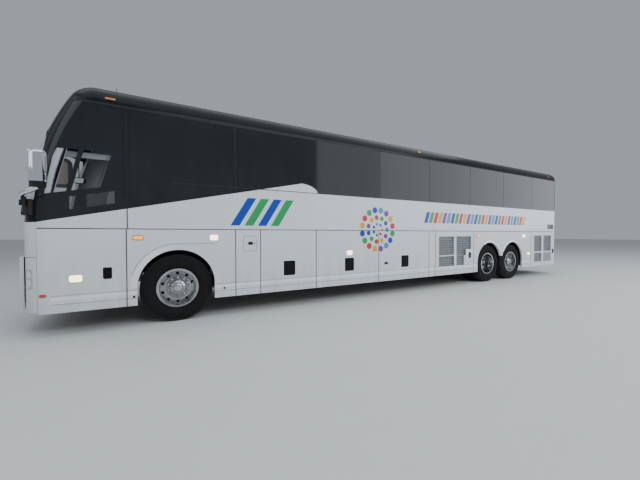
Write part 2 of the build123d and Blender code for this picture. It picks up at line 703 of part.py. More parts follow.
def engine_door():
    """Louvred door in the middle of the rear face."""
    half = ENGINE_DOOR_HALF_WIDTH - SHUT_GAP / 2
    low = ENGINE_DOOR_BOTTOM_Z + SHUT_GAP / 2
    high = ENGINE_DOOR_TOP_Z - SHUT_GAP / 2
    door = block(BODY_LENGTH - WALL, BODY_LENGTH, -half, half, low, high)
    grille_low = low + ENGINE_GRILLE_MARGIN
    grille_high = high - ENGINE_GRILLE_MARGIN
    outer = half - ENGINE_GRILLE_MARGIN
    for first, last in ((-outer, -ENGINE_GRILLE_BAR / 2), (ENGINE_GRILLE_BAR / 2, outer)):
        door = door - block(BODY_LENGTH - WALL - 5, BODY_LENGTH + 5, first, last, grille_low, grille_high)
        count = int((grille_high - grille_low) / LOUVRE_PITCH)
        for index in range(count):
            z = grille_low + LOUVRE_PITCH * (index + 0.5)
            slat = Pos(station_x(BODY_LENGTH - LOUVRE_INSET - LOUVRE_DEPTH / 2), (first + last) / 2, z)
            door = door + slat * Rot(0, LOUVRE_TILT, 0) * Box(
                LOUVRE_DEPTH, last - first + 2, LOUVRE_THICKNESS
            )
    return door


def full_plate(s0, s1, z0, z1):
    """Plate across the whole inside of the body."""
    return INSIDE & block(s0, s1, -ALL_Y, ALL_Y, z0, z1)


def wheel_box(side, s0, s1, inner_y, rear_wall):
    """Plates over the wheels of one side, between the bulkheads: inner wall, top and rear wall."""
    y0, y1 = inner_y - WELL_PLATE, INSIDE_Y
    plates = [
        block(s0, s1, y0, inner_y, WELL_BOTTOM_Z, WELL_TOP_Z - SEAT_GAP),
        block(s0, s1, y0, y1, WELL_TOP_Z, WELL_TOP_Z + WELL_PLATE),
    ]
    if rear_wall:
        plates.append(
            block(s1 - WELL_PLATE, s1, inner_y + SEAT_GAP, y1, PAN_BOTTOM_Z, WELL_TOP_Z - SEAT_GAP)
        )
    return plates if side == RIGHT else [other_side(plate) for plate in plates]


def bulkheads():
    """Upright plates under the deck, one at each door seam and one at each end of the wheels."""
    deck_low = DECK_TOP_Z - DECK_THICKNESS - SEAT_GAP
    half = BULKHEAD / 2
    plates = [
        block(FRONT_BULKHEAD_S - half, FRONT_BULKHEAD_S + half, -INSIDE_Y, INSIDE_Y, PAN_BOTTOM_Z, deck_low)
    ]
    for seam in (FUEL_PANEL_REAR_SEAM, LUGGAGE_SEAM_1, LUGGAGE_SEAM_2, LUGGAGE_REAR_SEAM,
                 NARROW_PANEL_REAR_SEAM, GRILLE_DOOR_REAR_SEAM, REAR_DOOR_FRONT_SEAM):
        low = PAN_BOTTOM_Z
        if seam < GRILLE_DOOR_REAR_SEAM:
            low = PAN_BOTTOM_Z + PAN_THICKNESS + SEAT_GAP
        plates.append(block(seam - half, seam + half, -INSIDE_Y, INSIDE_Y, low, deck_low))
    return plates


def floors():
    """Deck, luggage floor, driver's platform and the low floor under it."""
    wall_s = FRONT_BULKHEAD_S - BULKHEAD / 2 - SEAT_GAP
    platform_low = PLATFORM_TOP_Z - PLATFORM_THICKNESS
    pan_s = FRONT_AXLE_S + FRONT_WELL_HALF + WELL_PLATE + SEAT_GAP
    platform = full_plate(-10, wall_s, platform_low, PLATFORM_TOP_Z)
    kerb_side = block(-10, wall_s, STAIR_INNER_Y, ALL_Y, platform_low - 1, PLATFORM_TOP_Z + 1)
    shelf = full_plate(-10, STAIR_FRONT_S, platform_low, PLATFORM_TOP_Z)
    shelf = shelf & block(-10, STAIR_FRONT_S, STAIR_INNER_Y + SEAT_GAP, ALL_Y, 0, DECK_TOP_Z)
    return [
        full_plate(FRONT_BULKHEAD_S - BULKHEAD / 2, BODY_LENGTH, DECK_TOP_Z - DECK_THICKNESS, DECK_TOP_Z),
        block(pan_s, GRILLE_DOOR_REAR_SEAM - BULKHEAD / 2 - SEAT_GAP, -INSIDE_Y, INSIDE_Y,
              PAN_BOTTOM_Z, PAN_BOTTOM_Z + PAN_THICKNESS),
        platform - kerb_side,
        shelf,
        full_plate(-10, wall_s, FRONT_PAN_BOTTOM_Z, FRONT_PAN_BOTTOM_Z + PAN_THICKNESS),
    ]


def stairs():
    """Entry steps with their risers, the steps up to the deck, and the platform's posts."""
    wall_s = FRONT_BULKHEAD_S - BULKHEAD / 2 - SEAT_GAP
    floor_z = FRONT_PAN_BOTTOM_Z + PAN_THICKNESS
    under = PLATFORM_TOP_Z - PLATFORM_THICKNESS - SEAT_GAP
    rise = (PLATFORM_TOP_Z - floor_z) / 3
    pieces = []
    for index in range(2):
        outer_y = INSIDE_Y - STEP_GOING * (index + 1)
        pieces.append(
            block(STAIR_FRONT_S + SEAT_GAP, wall_s, STAIR_INNER_Y + SEAT_GAP, outer_y,
                  floor_z + rise * index + SEAT_GAP, floor_z + rise * (index + 1))
        )
    pieces.append(
        block(STAIR_FRONT_S + SEAT_GAP, wall_s, STAIR_INNER_Y - PLATFORM_THICKNESS, STAIR_INNER_Y,
              floor_z + SEAT_GAP, under)
    )
    pieces.append(
        block(STAIR_FRONT_S - PLATFORM_THICKNESS, STAIR_FRONT_S, STAIR_INNER_Y, INSIDE_Y,
              floor_z + SEAT_GAP, under)
    )
    deck_rise = (DECK_TOP_Z - PLATFORM_TOP_Z) / 3
    for index in range(2):
        pieces.append(
            block(wall_s - AISLE_STEP_GOING * (2 - index), wall_s, *AISLE_STEP_Y,
                  PLATFORM_TOP_Z + deck_rise * index + SEAT_GAP, PLATFORM_TOP_Z + deck_rise * (index + 1))
        )
    for station in PLATFORM_POST_STATIONS:
        pieces.append(
            INSIDE & block(station - BULKHEAD / 2, station + BULKHEAD / 2, *PLATFORM_POST_Y,
                           floor_z + SEAT_GAP, under)
        )
    return pieces


def beams():
    """Pairs of long beams over the axles, with the posts that hold the rear ones to the deck."""
    half = BULKHEAD / 2 + SEAT_GAP
    top_z = BEAM_BOTTOM_Z + BEAM_HEIGHT
    tail_s = BODY_LENGTH - 2 * REAR_POST_DEPTH
    pieces = []
    for y0 in (-BEAM_INNER_Y - BEAM_WIDTH, BEAM_INNER_Y):
        y1 = y0 + BEAM_WIDTH
        for first, last in (
            (FRONT_BULKHEAD_S + half, FUEL_PANEL_REAR_SEAM - half),
            (GRILLE_DOOR_REAR_SEAM + half, REAR_DOOR_FRONT_SEAM - half),
            (REAR_DOOR_FRONT_SEAM + half, tail_s),
        ):
            pieces.append(block(first, last, y0, y1, BEAM_BOTTOM_Z, top_z))
        pieces.append(
            block(tail_s - BULKHEAD, tail_s, y0, y1, top_z + SEAT_GAP,
                  DECK_TOP_Z - DECK_THICKNESS - SEAT_GAP)
        )
    return pieces


def end_frames():
    """Cowl and screen behind the front panel, and posts and sill behind the rear face."""
    cowl_low = COWL_TOP_Z - COWL_THICKNESS
    under_deck = DECK_TOP_Z - DECK_THICKNESS - SEAT_GAP
    rear_s = BODY_LENGTH - WALL - SEAT_GAP
    post_in, post_out = REAR_POST_Y
    pieces = [
        full_plate(-10, COWL_REAR_S, cowl_low, COWL_TOP_Z),
        INSIDE & block(SCREEN_S - BULKHEAD / 2, SCREEN_S + BULKHEAD / 2,
                       -SCREEN_HALF_WIDTH, SCREEN_HALF_WIDTH, PLATFORM_TOP_Z + SEAT_GAP, cowl_low - SEAT_GAP),
        block(rear_s - REAR_POST_DEPTH, rear_s, -post_in + SEAT_GAP, post_in - SEAT_GAP,
              PAN_BOTTOM_Z, REAR_SILL_TOP_Z),
    ]
    for y0, y1 in ((-post_out, -post_in), (post_in, post_out)):
        pieces.append(block(rear_s - REAR_POST_DEPTH, rear_s, y0, y1, PAN_BOTTOM_Z, under_deck))
    return pieces


def underframe():
    """Floors, bulkheads, wheel boxes, beams and end frames, with room for the front doors' hinges."""
    pieces = [*floors(), *bulkheads(), *stairs(), *beams(), *end_frames()]
    for side in (LEFT, RIGHT):
        pieces += wheel_box(
            side, FRONT_BULKHEAD_S + BULKHEAD / 2 + SEAT_GAP,
            FRONT_AXLE_S + FRONT_WELL_HALF + WELL_PLATE, FRONT_WELL_INNER_Y, True,
        )
        pieces += wheel_box(
            side, GRILLE_DOOR_REAR_SEAM + BULKHEAD / 2 + SEAT_GAP,
            REAR_DOOR_FRONT_SEAM - BULKHEAD / 2 - SEAT_GAP, REAR_WELL_INNER_Y, False,
        )
    middle_z = (SKIRT_Z + BELT_SEAM_Z) / 2
    height = BELT_SEAM_Z + 200
    left_hinge = Pos(station_x(LEFT_CORNER_SEAM + 1), -corner_skin_y(LEFT_CORNER_SEAM + 1), middle_z)
    right_hinge = Pos(station_x(RIGHT_CORNER_SEAM + 1), HALF_WIDTH, middle_z)
    room = left_hinge * Cylinder(WALL + LEFT_HINGE_ROOM, height)
    room = room + right_hinge * Cylinder(WALL + RIGHT_HINGE_ROOM, height)
    return [piece - room for piece in pieces]


def engine_block():
    """Engine as one plain block on the frame's beams."""
    half = BEAM_INNER_Y - SEAT_GAP
    engine = block(BODY_LENGTH - ENGINE_FRONT, BODY_LENGTH - ENGINE_REAR, -half, half,
                   ENGINE_BOTTOM_Z, ENGINE_TOP_Z)
    return [chamfer(engine.edges().filter_by(Axis.X), ENGINE_CHAMFER)]


def air_spring(station, side, low, radius):
    """Air spring from an axle up to the beam over it."""
    high = BEAM_BOTTOM_Z - SEAT_GAP
    place = Pos(station_x(station), side * (BEAM_INNER_Y + BEAM_WIDTH / 2), (low + high) / 2)
    return place * Cylinder(radius, high - low)


def axle_set():
    """Front beam, drive axle housing and tag beam, with their spindles and air springs."""
    boss_low, boss_high = KINGPIN_BOSS_Z
    beam = block(
        FRONT_AXLE_S - FRONT_BEAM_HALF, FRONT_AXLE_S + FRONT_BEAM_HALF, -KINGPIN_Y, KINGPIN_Y,
        boss_low + 10, boss_high - 10,
    )
    for side in (LEFT, RIGHT):
        centre = Pos(station_x(FRONT_AXLE_S), side * KINGPIN_Y, (boss_low + boss_high) / 2)
        beam = beam + centre * Cylinder(KINGPIN_BOSS_RADIUS, boss_high - boss_low)
        beam = beam - centre * Cylinder(KINGPIN_RADIUS + RUNNING_GAP, boss_high - boss_low + 10)
        beam = beam + air_spring(FRONT_AXLE_S, side, boss_high - 20, FRONT_SPRING_RADIUS)
    pieces = [beam]
    twin_inner = WHEEL_CENTRE_Y - TYRE_WIDTH - TWIN_GAP - TYRE_WIDTH / 2
    for station, reach, radius, end in (
        (DRIVE_AXLE_S, twin_inner - 20, DRIVE_TUBE_RADIUS, DRIVE_SPINDLE_END_Y),
        (TAG_AXLE_S, WHEEL_CENTRE_Y - TYRE_WIDTH / 2 - 30, TAG_TUBE_RADIUS, FRONT_SPINDLE_END_Y),
    ):
        axis = Pos(station_x(station), 0, AXLE_Z) * Rot(90, 0, 0)
        tube = axis * Cylinder(radius, 2 * reach) + axis * Cylinder(SPINDLE_RADIUS, 2 * end)
        if station == DRIVE_AXLE_S:
            tube = tube + Pos(station_x(station), 0, AXLE_Z) * Sphere(DIFFERENTIAL_RADIUS)
        for side in (LEFT, RIGHT):
            tube = tube + air_spring(station, side, AXLE_Z + radius / 2, REAR_SPRING_RADIUS)
        pieces.append(tube)
    return pieces


def knuckle(side):
    """Steering knuckle: two eyes around the beam's boss, a kingpin and a spindle."""
    boss_low, boss_high = KINGPIN_BOSS_Z
    clear = 1.0
    upper = Pos(0, 0, boss_high + clear + 25) * Cylinder(52, 50)
    lower = Pos(0, 0, boss_low - clear - 20) * Cylinder(52, 40)
    pin = Pos(0, 0, (boss_low + boss_high) / 2) * Cylinder(KINGPIN_RADIUS, boss_high - boss_low + 60)
    plate = Pos(0, 78, AXLE_Z - 60) * Box(110, 30, 210)
    upper_arm = Pos(0, 50, boss_high + clear + 22) * Box(80, 60, 44)
    lower_arm = Pos(0, 50, boss_low - clear - 20) * Box(80, 60, 36)
    spindle_end = FRONT_SPINDLE_END_Y - KINGPIN_Y
    spindle = Pos(0, (70 + spindle_end) / 2, AXLE_Z) * Rot(90, 0, 0) * Cylinder(
        SPINDLE_RADIUS, spindle_end - 70
    )
    shape = upper + lower + pin + plate + upper_arm + lower_arm + spindle
    shape = Pos(station_x(FRONT_AXLE_S), KINGPIN_Y, 0) * shape
    return [shape if side == RIGHT else other_side(shape)]


def turned(points, station, y_centre, side):
    """Ring turned about the wheel's axis from (distance outward, radius) corners."""
    face = make_face(Polyline(*points, close=True))
    ring = revolve(face, Axis.X, 360)
    return Pos(station_x(station), side * y_centre, AXLE_Z) * Rot(0, 0, 90 * side) * ring


def tyre_ring(station, y_centre, side):
    """Tyre with beads, bulged walls and a flat tread."""
    half = TYRE_WIDTH / 2
    points = [
        (-half + 30, BEAD_RADIUS), (-half + 30, BEAD_RADIUS + 16), (-half + 8, BEAD_RADIUS + 55),
        (-half, BEAD_RADIUS + 115),
        (-half + 8, TYRE_RADIUS - 45), (-half + 28, TYRE_RADIUS - 10), (-half + 45, TYRE_RADIUS),
        (half - 45, TYRE_RADIUS), (half - 28, TYRE_RADIUS - 10), (half - 8, TYRE_RADIUS - 45),
        (half, BEAD_RADIUS + 115), (half - 8, BEAD_RADIUS + 55), (half - 30, BEAD_RADIUS + 16),
        (half - 30, BEAD_RADIUS),
    ]
    return turned(points, station, y_centre, side)


def rim_outside(half):
    """Corners of a rim's tyre side from flange to flange, as (distance outward, radius)."""
    seat = BEAD_RADIUS - SEAT_GAP
    lip = seat + FLANGE_HEIGHT
    return [
        (-half - 18, lip), (-half - 4, lip), (-half, seat), (half, seat),
        (half + 4, lip), (half + 18, lip),
    ]


def drilled(wheel, station, y_place, side):
    """Wheel with its ring of hand holes."""
    centre = Pos(station_x(station), side * y_place, AXLE_Z)
    for index in range(HAND_HOLES):
        angle = 2 * pi * (index + 0.5) / HAND_HOLES
        hole = Pos(HAND_HOLE_CIRCLE * cos(angle), 0, HAND_HOLE_CIRCLE * sin(angle))
        wheel = wheel - centre * hole * Rot(90, 0, 0) * Cylinder(HAND_HOLE_RADIUS, 100)
    return wheel


def single_wheel(station, side):
    """Convex disc wheel of the front and tag axles, with hub and cap."""
    bore = SPINDLE_RADIUS + RUNNING_GAP
    bore_end = FRONT_SPINDLE_END_Y - WHEEL_CENTRE_Y + 5
    points = [(-70, bore), (-70, 88), (40, 88), (50, 110), (45, 200), (20, 258), (-133, 268)]
    points += rim_outside(TYRE_WIDTH / 2 - 26)
    points += [
        (133, 268), (50, 258), (62, 200), (68, 118), (100, 110), (118, 80), (122, 0),
        (bore_end, 0), (bore_end, bore),
    ]
    wheel = turned(points, station, WHEEL_CENTRE_Y, side)
    return [drilled(wheel, station, WHEEL_CENTRE_Y + 45, side)]


def twin_wheel(station, side):
    """Pair of dished wheels bolted face to face on one hub."""
    bore = SPINDLE_RADIUS + RUNNING_GAP
    middle = -(TYRE_WIDTH + TWIN_GAP) / 2
    bore_end = DRIVE_SPINDLE_END_Y - WHEEL_CENTRE_Y + 5
    disc = [
        (133, 268), (-50, 258), (-100, 246), (-140, 215), (middle + 14, 180), (middle + 14, 80),
        (middle, 80), (middle, 190), (-152, 232), (-112, 262), (-133, 268),
    ]
    outer = disc[-1:] + rim_outside(TYRE_WIDTH / 2 - 26) + disc[:-1]
    inner = [(2 * middle - u, r) for u, r in outer]
    hub = [
        (-420, bore), (-420, 92), (middle + 14, 92), (middle + 14, 122), (-75, 108), (-60, 72),
        (-30, 60), (-30, 0), (bore_end, 0), (bore_end, bore),
    ]
    wheel = turned(outer, station, WHEEL_CENTRE_Y, side)
    wheel = wheel + turned(inner, station, WHEEL_CENTRE_Y, side)
    wheel = wheel + turned(hub, station, WHEEL_CENTRE_Y, side)
    return [drilled(wheel, station, WHEEL_CENTRE_Y - 150, side)]


# Steering wheel and dashboard
STEERING_S = 600.0
STEERING_Y = -700.0
STEERING_Z = 1680.0
STEERING_TILT = 28.0
STEERING_RADIUS = 230.0
STEERING_SHAFT_RADIUS = 15.0


def steering_place():
    """Place of the steering wheel's centre, with its axis along local Z."""
    return Pos(station_x(STEERING_S), STEERING_Y, STEERING_Z) * Rot(0, STEERING_TILT, 0)


def steering_wheel():
    """Rim, three spokes and hub on a short shaft."""
    rim = Torus(STEERING_RADIUS, 15)
    hub = Pos(0, 0, -10) * Cylinder(55, 40)
    wheel = rim + hub
    for angle in (90, 210, 330):
        spoke = Rot(0, 0, angle) * Pos(STEERING_RADIUS / 2 + 15, 0, -6) * Box(
            STEERING_RADIUS - 30, 34, 14
        )
        wheel = wheel + spoke
    shaft = Pos(0, 0, -75) * Cylinder(STEERING_SHAFT_RADIUS, 110)
    return [steering_place() * (wheel + shaft)]


# Seats
SEAT_PITCH = 830.0
FIRST_ROW_S = 2500.0
LAST_ROW_ROOM = 1290.0
SEAT_ROWS = int((BODY_LENGTH - LAST_ROW_ROOM - FIRST_ROW_S) / SEAT_PITCH) + 1
SEAT_AISLE_Y = 250.0
DRIVER_SEAT_S = 700.0
SEAT_WALL_Y = 1225.0
CUSHION_PROFILE = (
    (80, 0), (400, 0), (400, 300), (445, 330), (445, 470), (40, 440), (0, 400), (10, 320), (80, 300),
)
BACK_PROFILE = ((445.5, 330), (500, 330), (660, 1150), (610, 1185), (545, 1160), (445.5, 520))


def seat_at(station, y0, y1, floor_z):
    """Seat cushion on its base and the raked back behind it, each across the whole width."""
    pieces = []
    for profile in (CUSHION_PROFILE, BACK_PROFILE):
        points = [(station + s, floor_z + SEAT_GAP + z) for s, z in profile]
        pieces.append(side_prism(points, y0, y1))
    return pieces


def dashboard():
    """Dashboard across the driver's place, with the steering column in it."""
    foot = PLATFORM_TOP_Z + SEAT_GAP
    profile = [
        (COWL_REAR_S + SEAT_GAP, foot), (480, foot), (480, 1250), (640, 1400), (640, 1480),
        (560, 1540), (COWL_REAR_S + SEAT_GAP, COWL_TOP_Z),
    ]
    board = side_prism(profile, -1150, 480)
    board = board + steering_place() * Pos(0, 0, -190) * Cylinder(38, 300)
    bore = Cylinder(STEERING_SHAFT_RADIUS + RUNNING_GAP, 110)
    return board - steering_place() * Pos(0, 0, -90) * bore


def seats():
    """Driver's seat and the rows of passenger seats."""
    pieces = seat_at(DRIVER_SEAT_S, -960, -440, PLATFORM_TOP_Z)
    for row in range(SEAT_ROWS):
        station = FIRST_ROW_S + SEAT_PITCH * row
        pieces.extend(seat_at(station, SEAT_AISLE_Y, SEAT_WALL_Y, DECK_TOP_Z))
        pieces.extend(seat_at(station, -SEAT_WALL_Y, -SEAT_AISLE_Y, DECK_TOP_Z))
    return pieces


# Mirrors
MIRROR_MOUNT = (262.0, 1212.0, 1700.0)
MIRROR_ARM = ((275.0, 1240.0, 1740.0), (300.0, 1330.0, 1872.0), (410.0, 1500.0, 1915.0))
MIRROR_ARM_RADIUS = 28.0
MIRROR_HEAD = (310.0, 505.0, 1380.0, 1650.0, 1925.0, 2390.0)
MIRROR_FILLET = 55.0
MIRROR_CLEAR = -0.4


def rod(start, end, radius):
    """Round bar between two (station, side distance, height) points."""
    a = Vector(station_x(start[0]), start[1], start[2])
    b = Vector(station_x(end[0]), end[1], end[2])
    plane = Plane(origin=a, z_dir=b - a)
    return extrude(plane * Circle(radius), (b - a).length)


def mirror_unit(side):
    """Outside mirror: foot on the corner, bent arm and rounded head."""
    s, y, z = MIRROR_MOUNT
    foot = Pos(station_x(s), y, z) * Rot(0, 0, -45) * Box(70, 130, 210)
    foot = fillet(foot.edges().filter_by(Axis.Z), 20)
    unit = foot
    for start, end in zip(MIRROR_ARM, MIRROR_ARM[1:]):
        unit = unit + rod(start, end, MIRROR_ARM_RADIUS)
        unit = unit + Pos(station_x(end[0]), end[1], end[2]) * Sphere(MIRROR_ARM_RADIUS)
    s0, s1, y0, y1, z0, z1 = MIRROR_HEAD
    head = block(s0, s1, y0, y1, z0, z1)
    head = fillet(head.edges(), MIRROR_FILLET)
    head = head - block(s1 - 12, s1 + 5, y0 + 35, y1 - 35, z0 + 40, z1 - 40)
    unit = (unit + head) - body_form(MIRROR_CLEAR)
    return [unit if side == RIGHT else other_side(unit)]


ENTRY_TOP_Z = GLASS_TOP_Z - 272.0
DOOR_WINDOW_LOW_Z = 1250.0
DOOR_FRONT_STILE = 110.0
DOOR_REAR_STILE = 100.0
DOOR_HEAD_RAIL = 110.0
DOOR_RAKED_STILE = 140.72


def entry_door():
    """Passenger door, from its bottom step to above the side glass line."""
    leaf = SKIN & side_block(
        RIGHT, RIGHT_CORNER_SEAM, ENTRY_REAR_SEAM - SHUT_GAP / 2,
        BUMPER_BOTTOM_Z, ENTRY_TOP_Z - SHUT_GAP / 2,
    )
    leaf = leaf - ahead_of_seam(RIGHT, SHUT_GAP / 2)
    front_s = RIGHT_CORNER_SEAM + DOOR_FRONT_STILE
    rear_s = ENTRY_REAR_SEAM - DOOR_REAR_STILE
    head_z = ENTRY_TOP_Z - DOOR_HEAD_RAIL
    head_s = RIGHT_CORNER_SEAM + rake_offset(head_z) + DOOR_RAKED_STILE
    window = side_prism(
        [(front_s, DOOR_WINDOW_LOW_Z), (rear_s, DOOR_WINDOW_LOW_Z), (rear_s, head_z), (head_s, head_z)],
        HALF_WIDTH - 2 * WALL, ALL_Y,
    )
    rebate = PANEL_GAP / 2
    pane = window & block(
        front_s, rear_s - rebate, HALF_WIDTH - 2 * GLASS_THICKNESS, HALF_WIDTH - GLASS_THICKNESS,
        DOOR_WINDOW_LOW_Z + rebate, head_z - rebate,
    )
    return [leaf - window, Pos(rebate, 0, 0) * pane]


def entry_header():
    """Fixed panel over the passenger door."""
    panel = SKIN & side_block(
        RIGHT, RIGHT_CORNER_SEAM, ENTRY_REAR_SEAM - PANEL_GAP, ENTRY_TOP_Z + SHUT_GAP / 2, GLASS_TOP_Z
    )
    return panel - ahead_of_seam(RIGHT, PANEL_GAP)


def front_service_door():
    """Hinged panel ahead of the left front wheel."""
    leaf = LOWER_SKIN & side_block(
        LEFT, LEFT_CORNER_SEAM + SHUT_GAP / 2, FRONT_DOOR_REAR_SEAM - SHUT_GAP / 2,
        SKIRT_Z, BELT_SEAM_Z - SHUT_GAP / 2,
    )
    return [handle_recess(leaf, LEFT, *SERVICE_HANDLE)]


def flap_box(grow):
    """Box through the left wall at the fuel flap, grown by a clearance."""
    s0, s1, z0, z1 = FUEL_FLAP
    return block(s0 - grow, s1 + grow, -ALL_Y, -SKIN_INNER_Y + 5, z0 - grow, z1 + grow)


def fuel_flap():
    """Lid over the filler: a plate flush with the skin."""
    s0, s1, z0, z1 = FUEL_FLAP
    return [block(s0, s1, -HALF_WIDTH, -HALF_WIDTH + FLAP_THICKNESS, z0, z1)]


def build_nodes():
    """All nodes of the coach by name, each as a list of solids."""
    nodes = {"engine": engine_block(), "axles": axle_set()}
    nodes["underframe"] = [*underframe(), dashboard()]
    left_wall = side_wall(LEFT)
    right_wall = side_wall(RIGHT)
    recess = flap_box(3.0) & block(
        0, BODY_LENGTH, -ALL_Y, -HALF_WIDTH + FLAP_THICKNESS + SEAT_GAP, 0, OVER_TOP_Z
    )
    left_wall[3] = left_wall[3] - recess
    right_wall.append(entry_header())
    nodes["side_wall_left"] = left_wall
    nodes["side_wall_right"] = right_wall
    nodes["side_glass"] = side_panes(LEFT) + side_panes(RIGHT)
    nodes["roof"] = roof_panels()
    nodes["front_body"] = front_body()
    nodes["windscreen"] = windscreen()
    nodes["rear_body"] = rear_body()
    nodes["headlamps"] = headlamps()
    nodes["tail_lamps"] = tail_lamps()
    nodes["mirrors"] = mirror_unit(LEFT) + mirror_unit(RIGHT)
    nodes["seats"] = seats()
    nodes["steering_wheel"] = steering_wheel()
    nodes["engine_door"] = [engine_door()]
    nodes["entry_door"] = entry_door()
    nodes["front_service_door"] = front_service_door()
    nodes["fuel_flap"] = fuel_flap()
    for name, station in zip(("front", "rear"), HATCH_STATIONS):
        nodes[f"roof_hatch_{name}"] = [hatch_lid(station)]
    luggage = (
        (FUEL_PANEL_REAR_SEAM, LUGGAGE_SEAM_1, LUGGAGE_HANDLE_1),
        (LUGGAGE_SEAM_1, LUGGAGE_SEAM_2, LUGGAGE_HANDLE_2),
        (LUGGAGE_SEAM_2, LUGGAGE_REAR_SEAM, LUGGAGE_HANDLE_3),
    )
    for side, word in ((LEFT, "left"), (RIGHT, "right")):
        for number, (first, last, handle) in enumerate(luggage, 1):
            nodes[f"luggage_door_{word}_{number}"] = [lower_door(side, first, last, handle)]
        nodes[f"middle_grille_door_{word}"] = [
            lower_door(side, NARROW_PANEL_REAR_SEAM, GRILLE_DOOR_REAR_SEAM, MIDDLE_HANDLE, MIDDLE_GRILLES)
        ]
        nodes[f"rear_grille_door_{word}"] = [
            lower_door(side, REAR_DOOR_FRONT_SEAM, REAR_SEAM_S, REAR_HANDLE, REAR_GRILLES)
        ]
        nodes[f"knuckle_{word}"] = knuckle(side)
        nodes[f"front_tyre_{word}"] = [tyre_ring(FRONT_AXLE_S, WHEEL_CENTRE_Y, side)]
        nodes[f"front_wheel_{word}"] = single_wheel(FRONT_AXLE_S, side)
        nodes[f"drive_tyres_{word}"] = [
            tyre_ring(DRIVE_AXLE_S, WHEEL_CENTRE_Y, side),
            tyre_ring(DRIVE_AXLE_S, WHEEL_CENTRE_Y - TYRE_WIDTH - TWIN_GAP, side),
        ]
        nodes[f"drive_wheels_{word}"] = twin_wheel(DRIVE_AXLE_S, side)
        nodes[f"tag_tyre_{word}"] = [tyre_ring(TAG_AXLE_S, WHEEL_CENTRE_Y, side)]
        nodes[f"tag_wheel_{word}"] = single_wheel(TAG_AXLE_S, side)
    return nodes


def solids_of(pieces):
    """Every solid in a list of shapes."""
    found = []
    for piece in pieces:
        found.extend(piece.solids())
    return found


def main():
    """Writes one file for each node."""
    os.makedirs("parts", exist_ok=True)
    for name, pieces in build_nodes().items():
        solids = solids_of(pieces)
        shape = solids[0] if len(solids) == 1 else Compound(solids)
        export_step(shape, f"parts/{name}.step")


if __name__ == "__main__":
    main()
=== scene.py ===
"""Coach bus: finishes, small fittings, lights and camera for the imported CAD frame.

Every length is in metres, in the frame of the CAD model: +X rearward, +Y to the kerb side, +Z up.
"""

from __future__ import annotations

import json
import logging
import math
from dataclasses import dataclass
from enum import Enum
from typing import Callable, Iterable, Sequence

import bmesh
import bpy
from bpy.types import Material, Node, NodeSocket, NodeTree, Object
from mathutils import Euler, Matrix, Vector

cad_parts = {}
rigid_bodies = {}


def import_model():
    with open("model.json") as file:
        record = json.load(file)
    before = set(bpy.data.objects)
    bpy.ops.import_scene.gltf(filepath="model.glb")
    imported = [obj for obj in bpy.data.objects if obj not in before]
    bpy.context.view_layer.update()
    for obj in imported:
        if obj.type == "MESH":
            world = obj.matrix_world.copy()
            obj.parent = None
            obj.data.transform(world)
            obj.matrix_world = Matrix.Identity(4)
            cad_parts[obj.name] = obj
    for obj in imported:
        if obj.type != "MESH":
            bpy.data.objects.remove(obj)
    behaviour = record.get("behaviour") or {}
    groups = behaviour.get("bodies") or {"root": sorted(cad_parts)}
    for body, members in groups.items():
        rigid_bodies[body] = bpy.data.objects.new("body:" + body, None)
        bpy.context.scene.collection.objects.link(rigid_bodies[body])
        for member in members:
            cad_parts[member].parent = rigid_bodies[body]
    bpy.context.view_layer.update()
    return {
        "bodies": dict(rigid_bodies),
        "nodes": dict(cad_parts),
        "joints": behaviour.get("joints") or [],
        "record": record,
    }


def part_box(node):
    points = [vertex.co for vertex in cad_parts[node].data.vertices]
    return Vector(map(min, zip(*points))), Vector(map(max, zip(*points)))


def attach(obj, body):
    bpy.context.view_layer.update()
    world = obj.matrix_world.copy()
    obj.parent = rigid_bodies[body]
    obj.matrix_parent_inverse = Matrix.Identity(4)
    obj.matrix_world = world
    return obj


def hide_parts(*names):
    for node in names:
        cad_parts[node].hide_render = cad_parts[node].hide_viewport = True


log = logging.getLogger("coach")

Socket = NodeSocket
Value = NodeSocket | float
Tint = NodeSocket | Sequence[float]
Colour = tuple[float, float, float]
Slant = tuple[tuple[float, float], tuple[float, float]]
Finishes = dict[str, Material]

HALF_LENGTH = 6.8785


def station(distance: float) -> float:
    """Turn a distance behind the front bumper, in metres, into X."""
    return distance - HALF_LENGTH


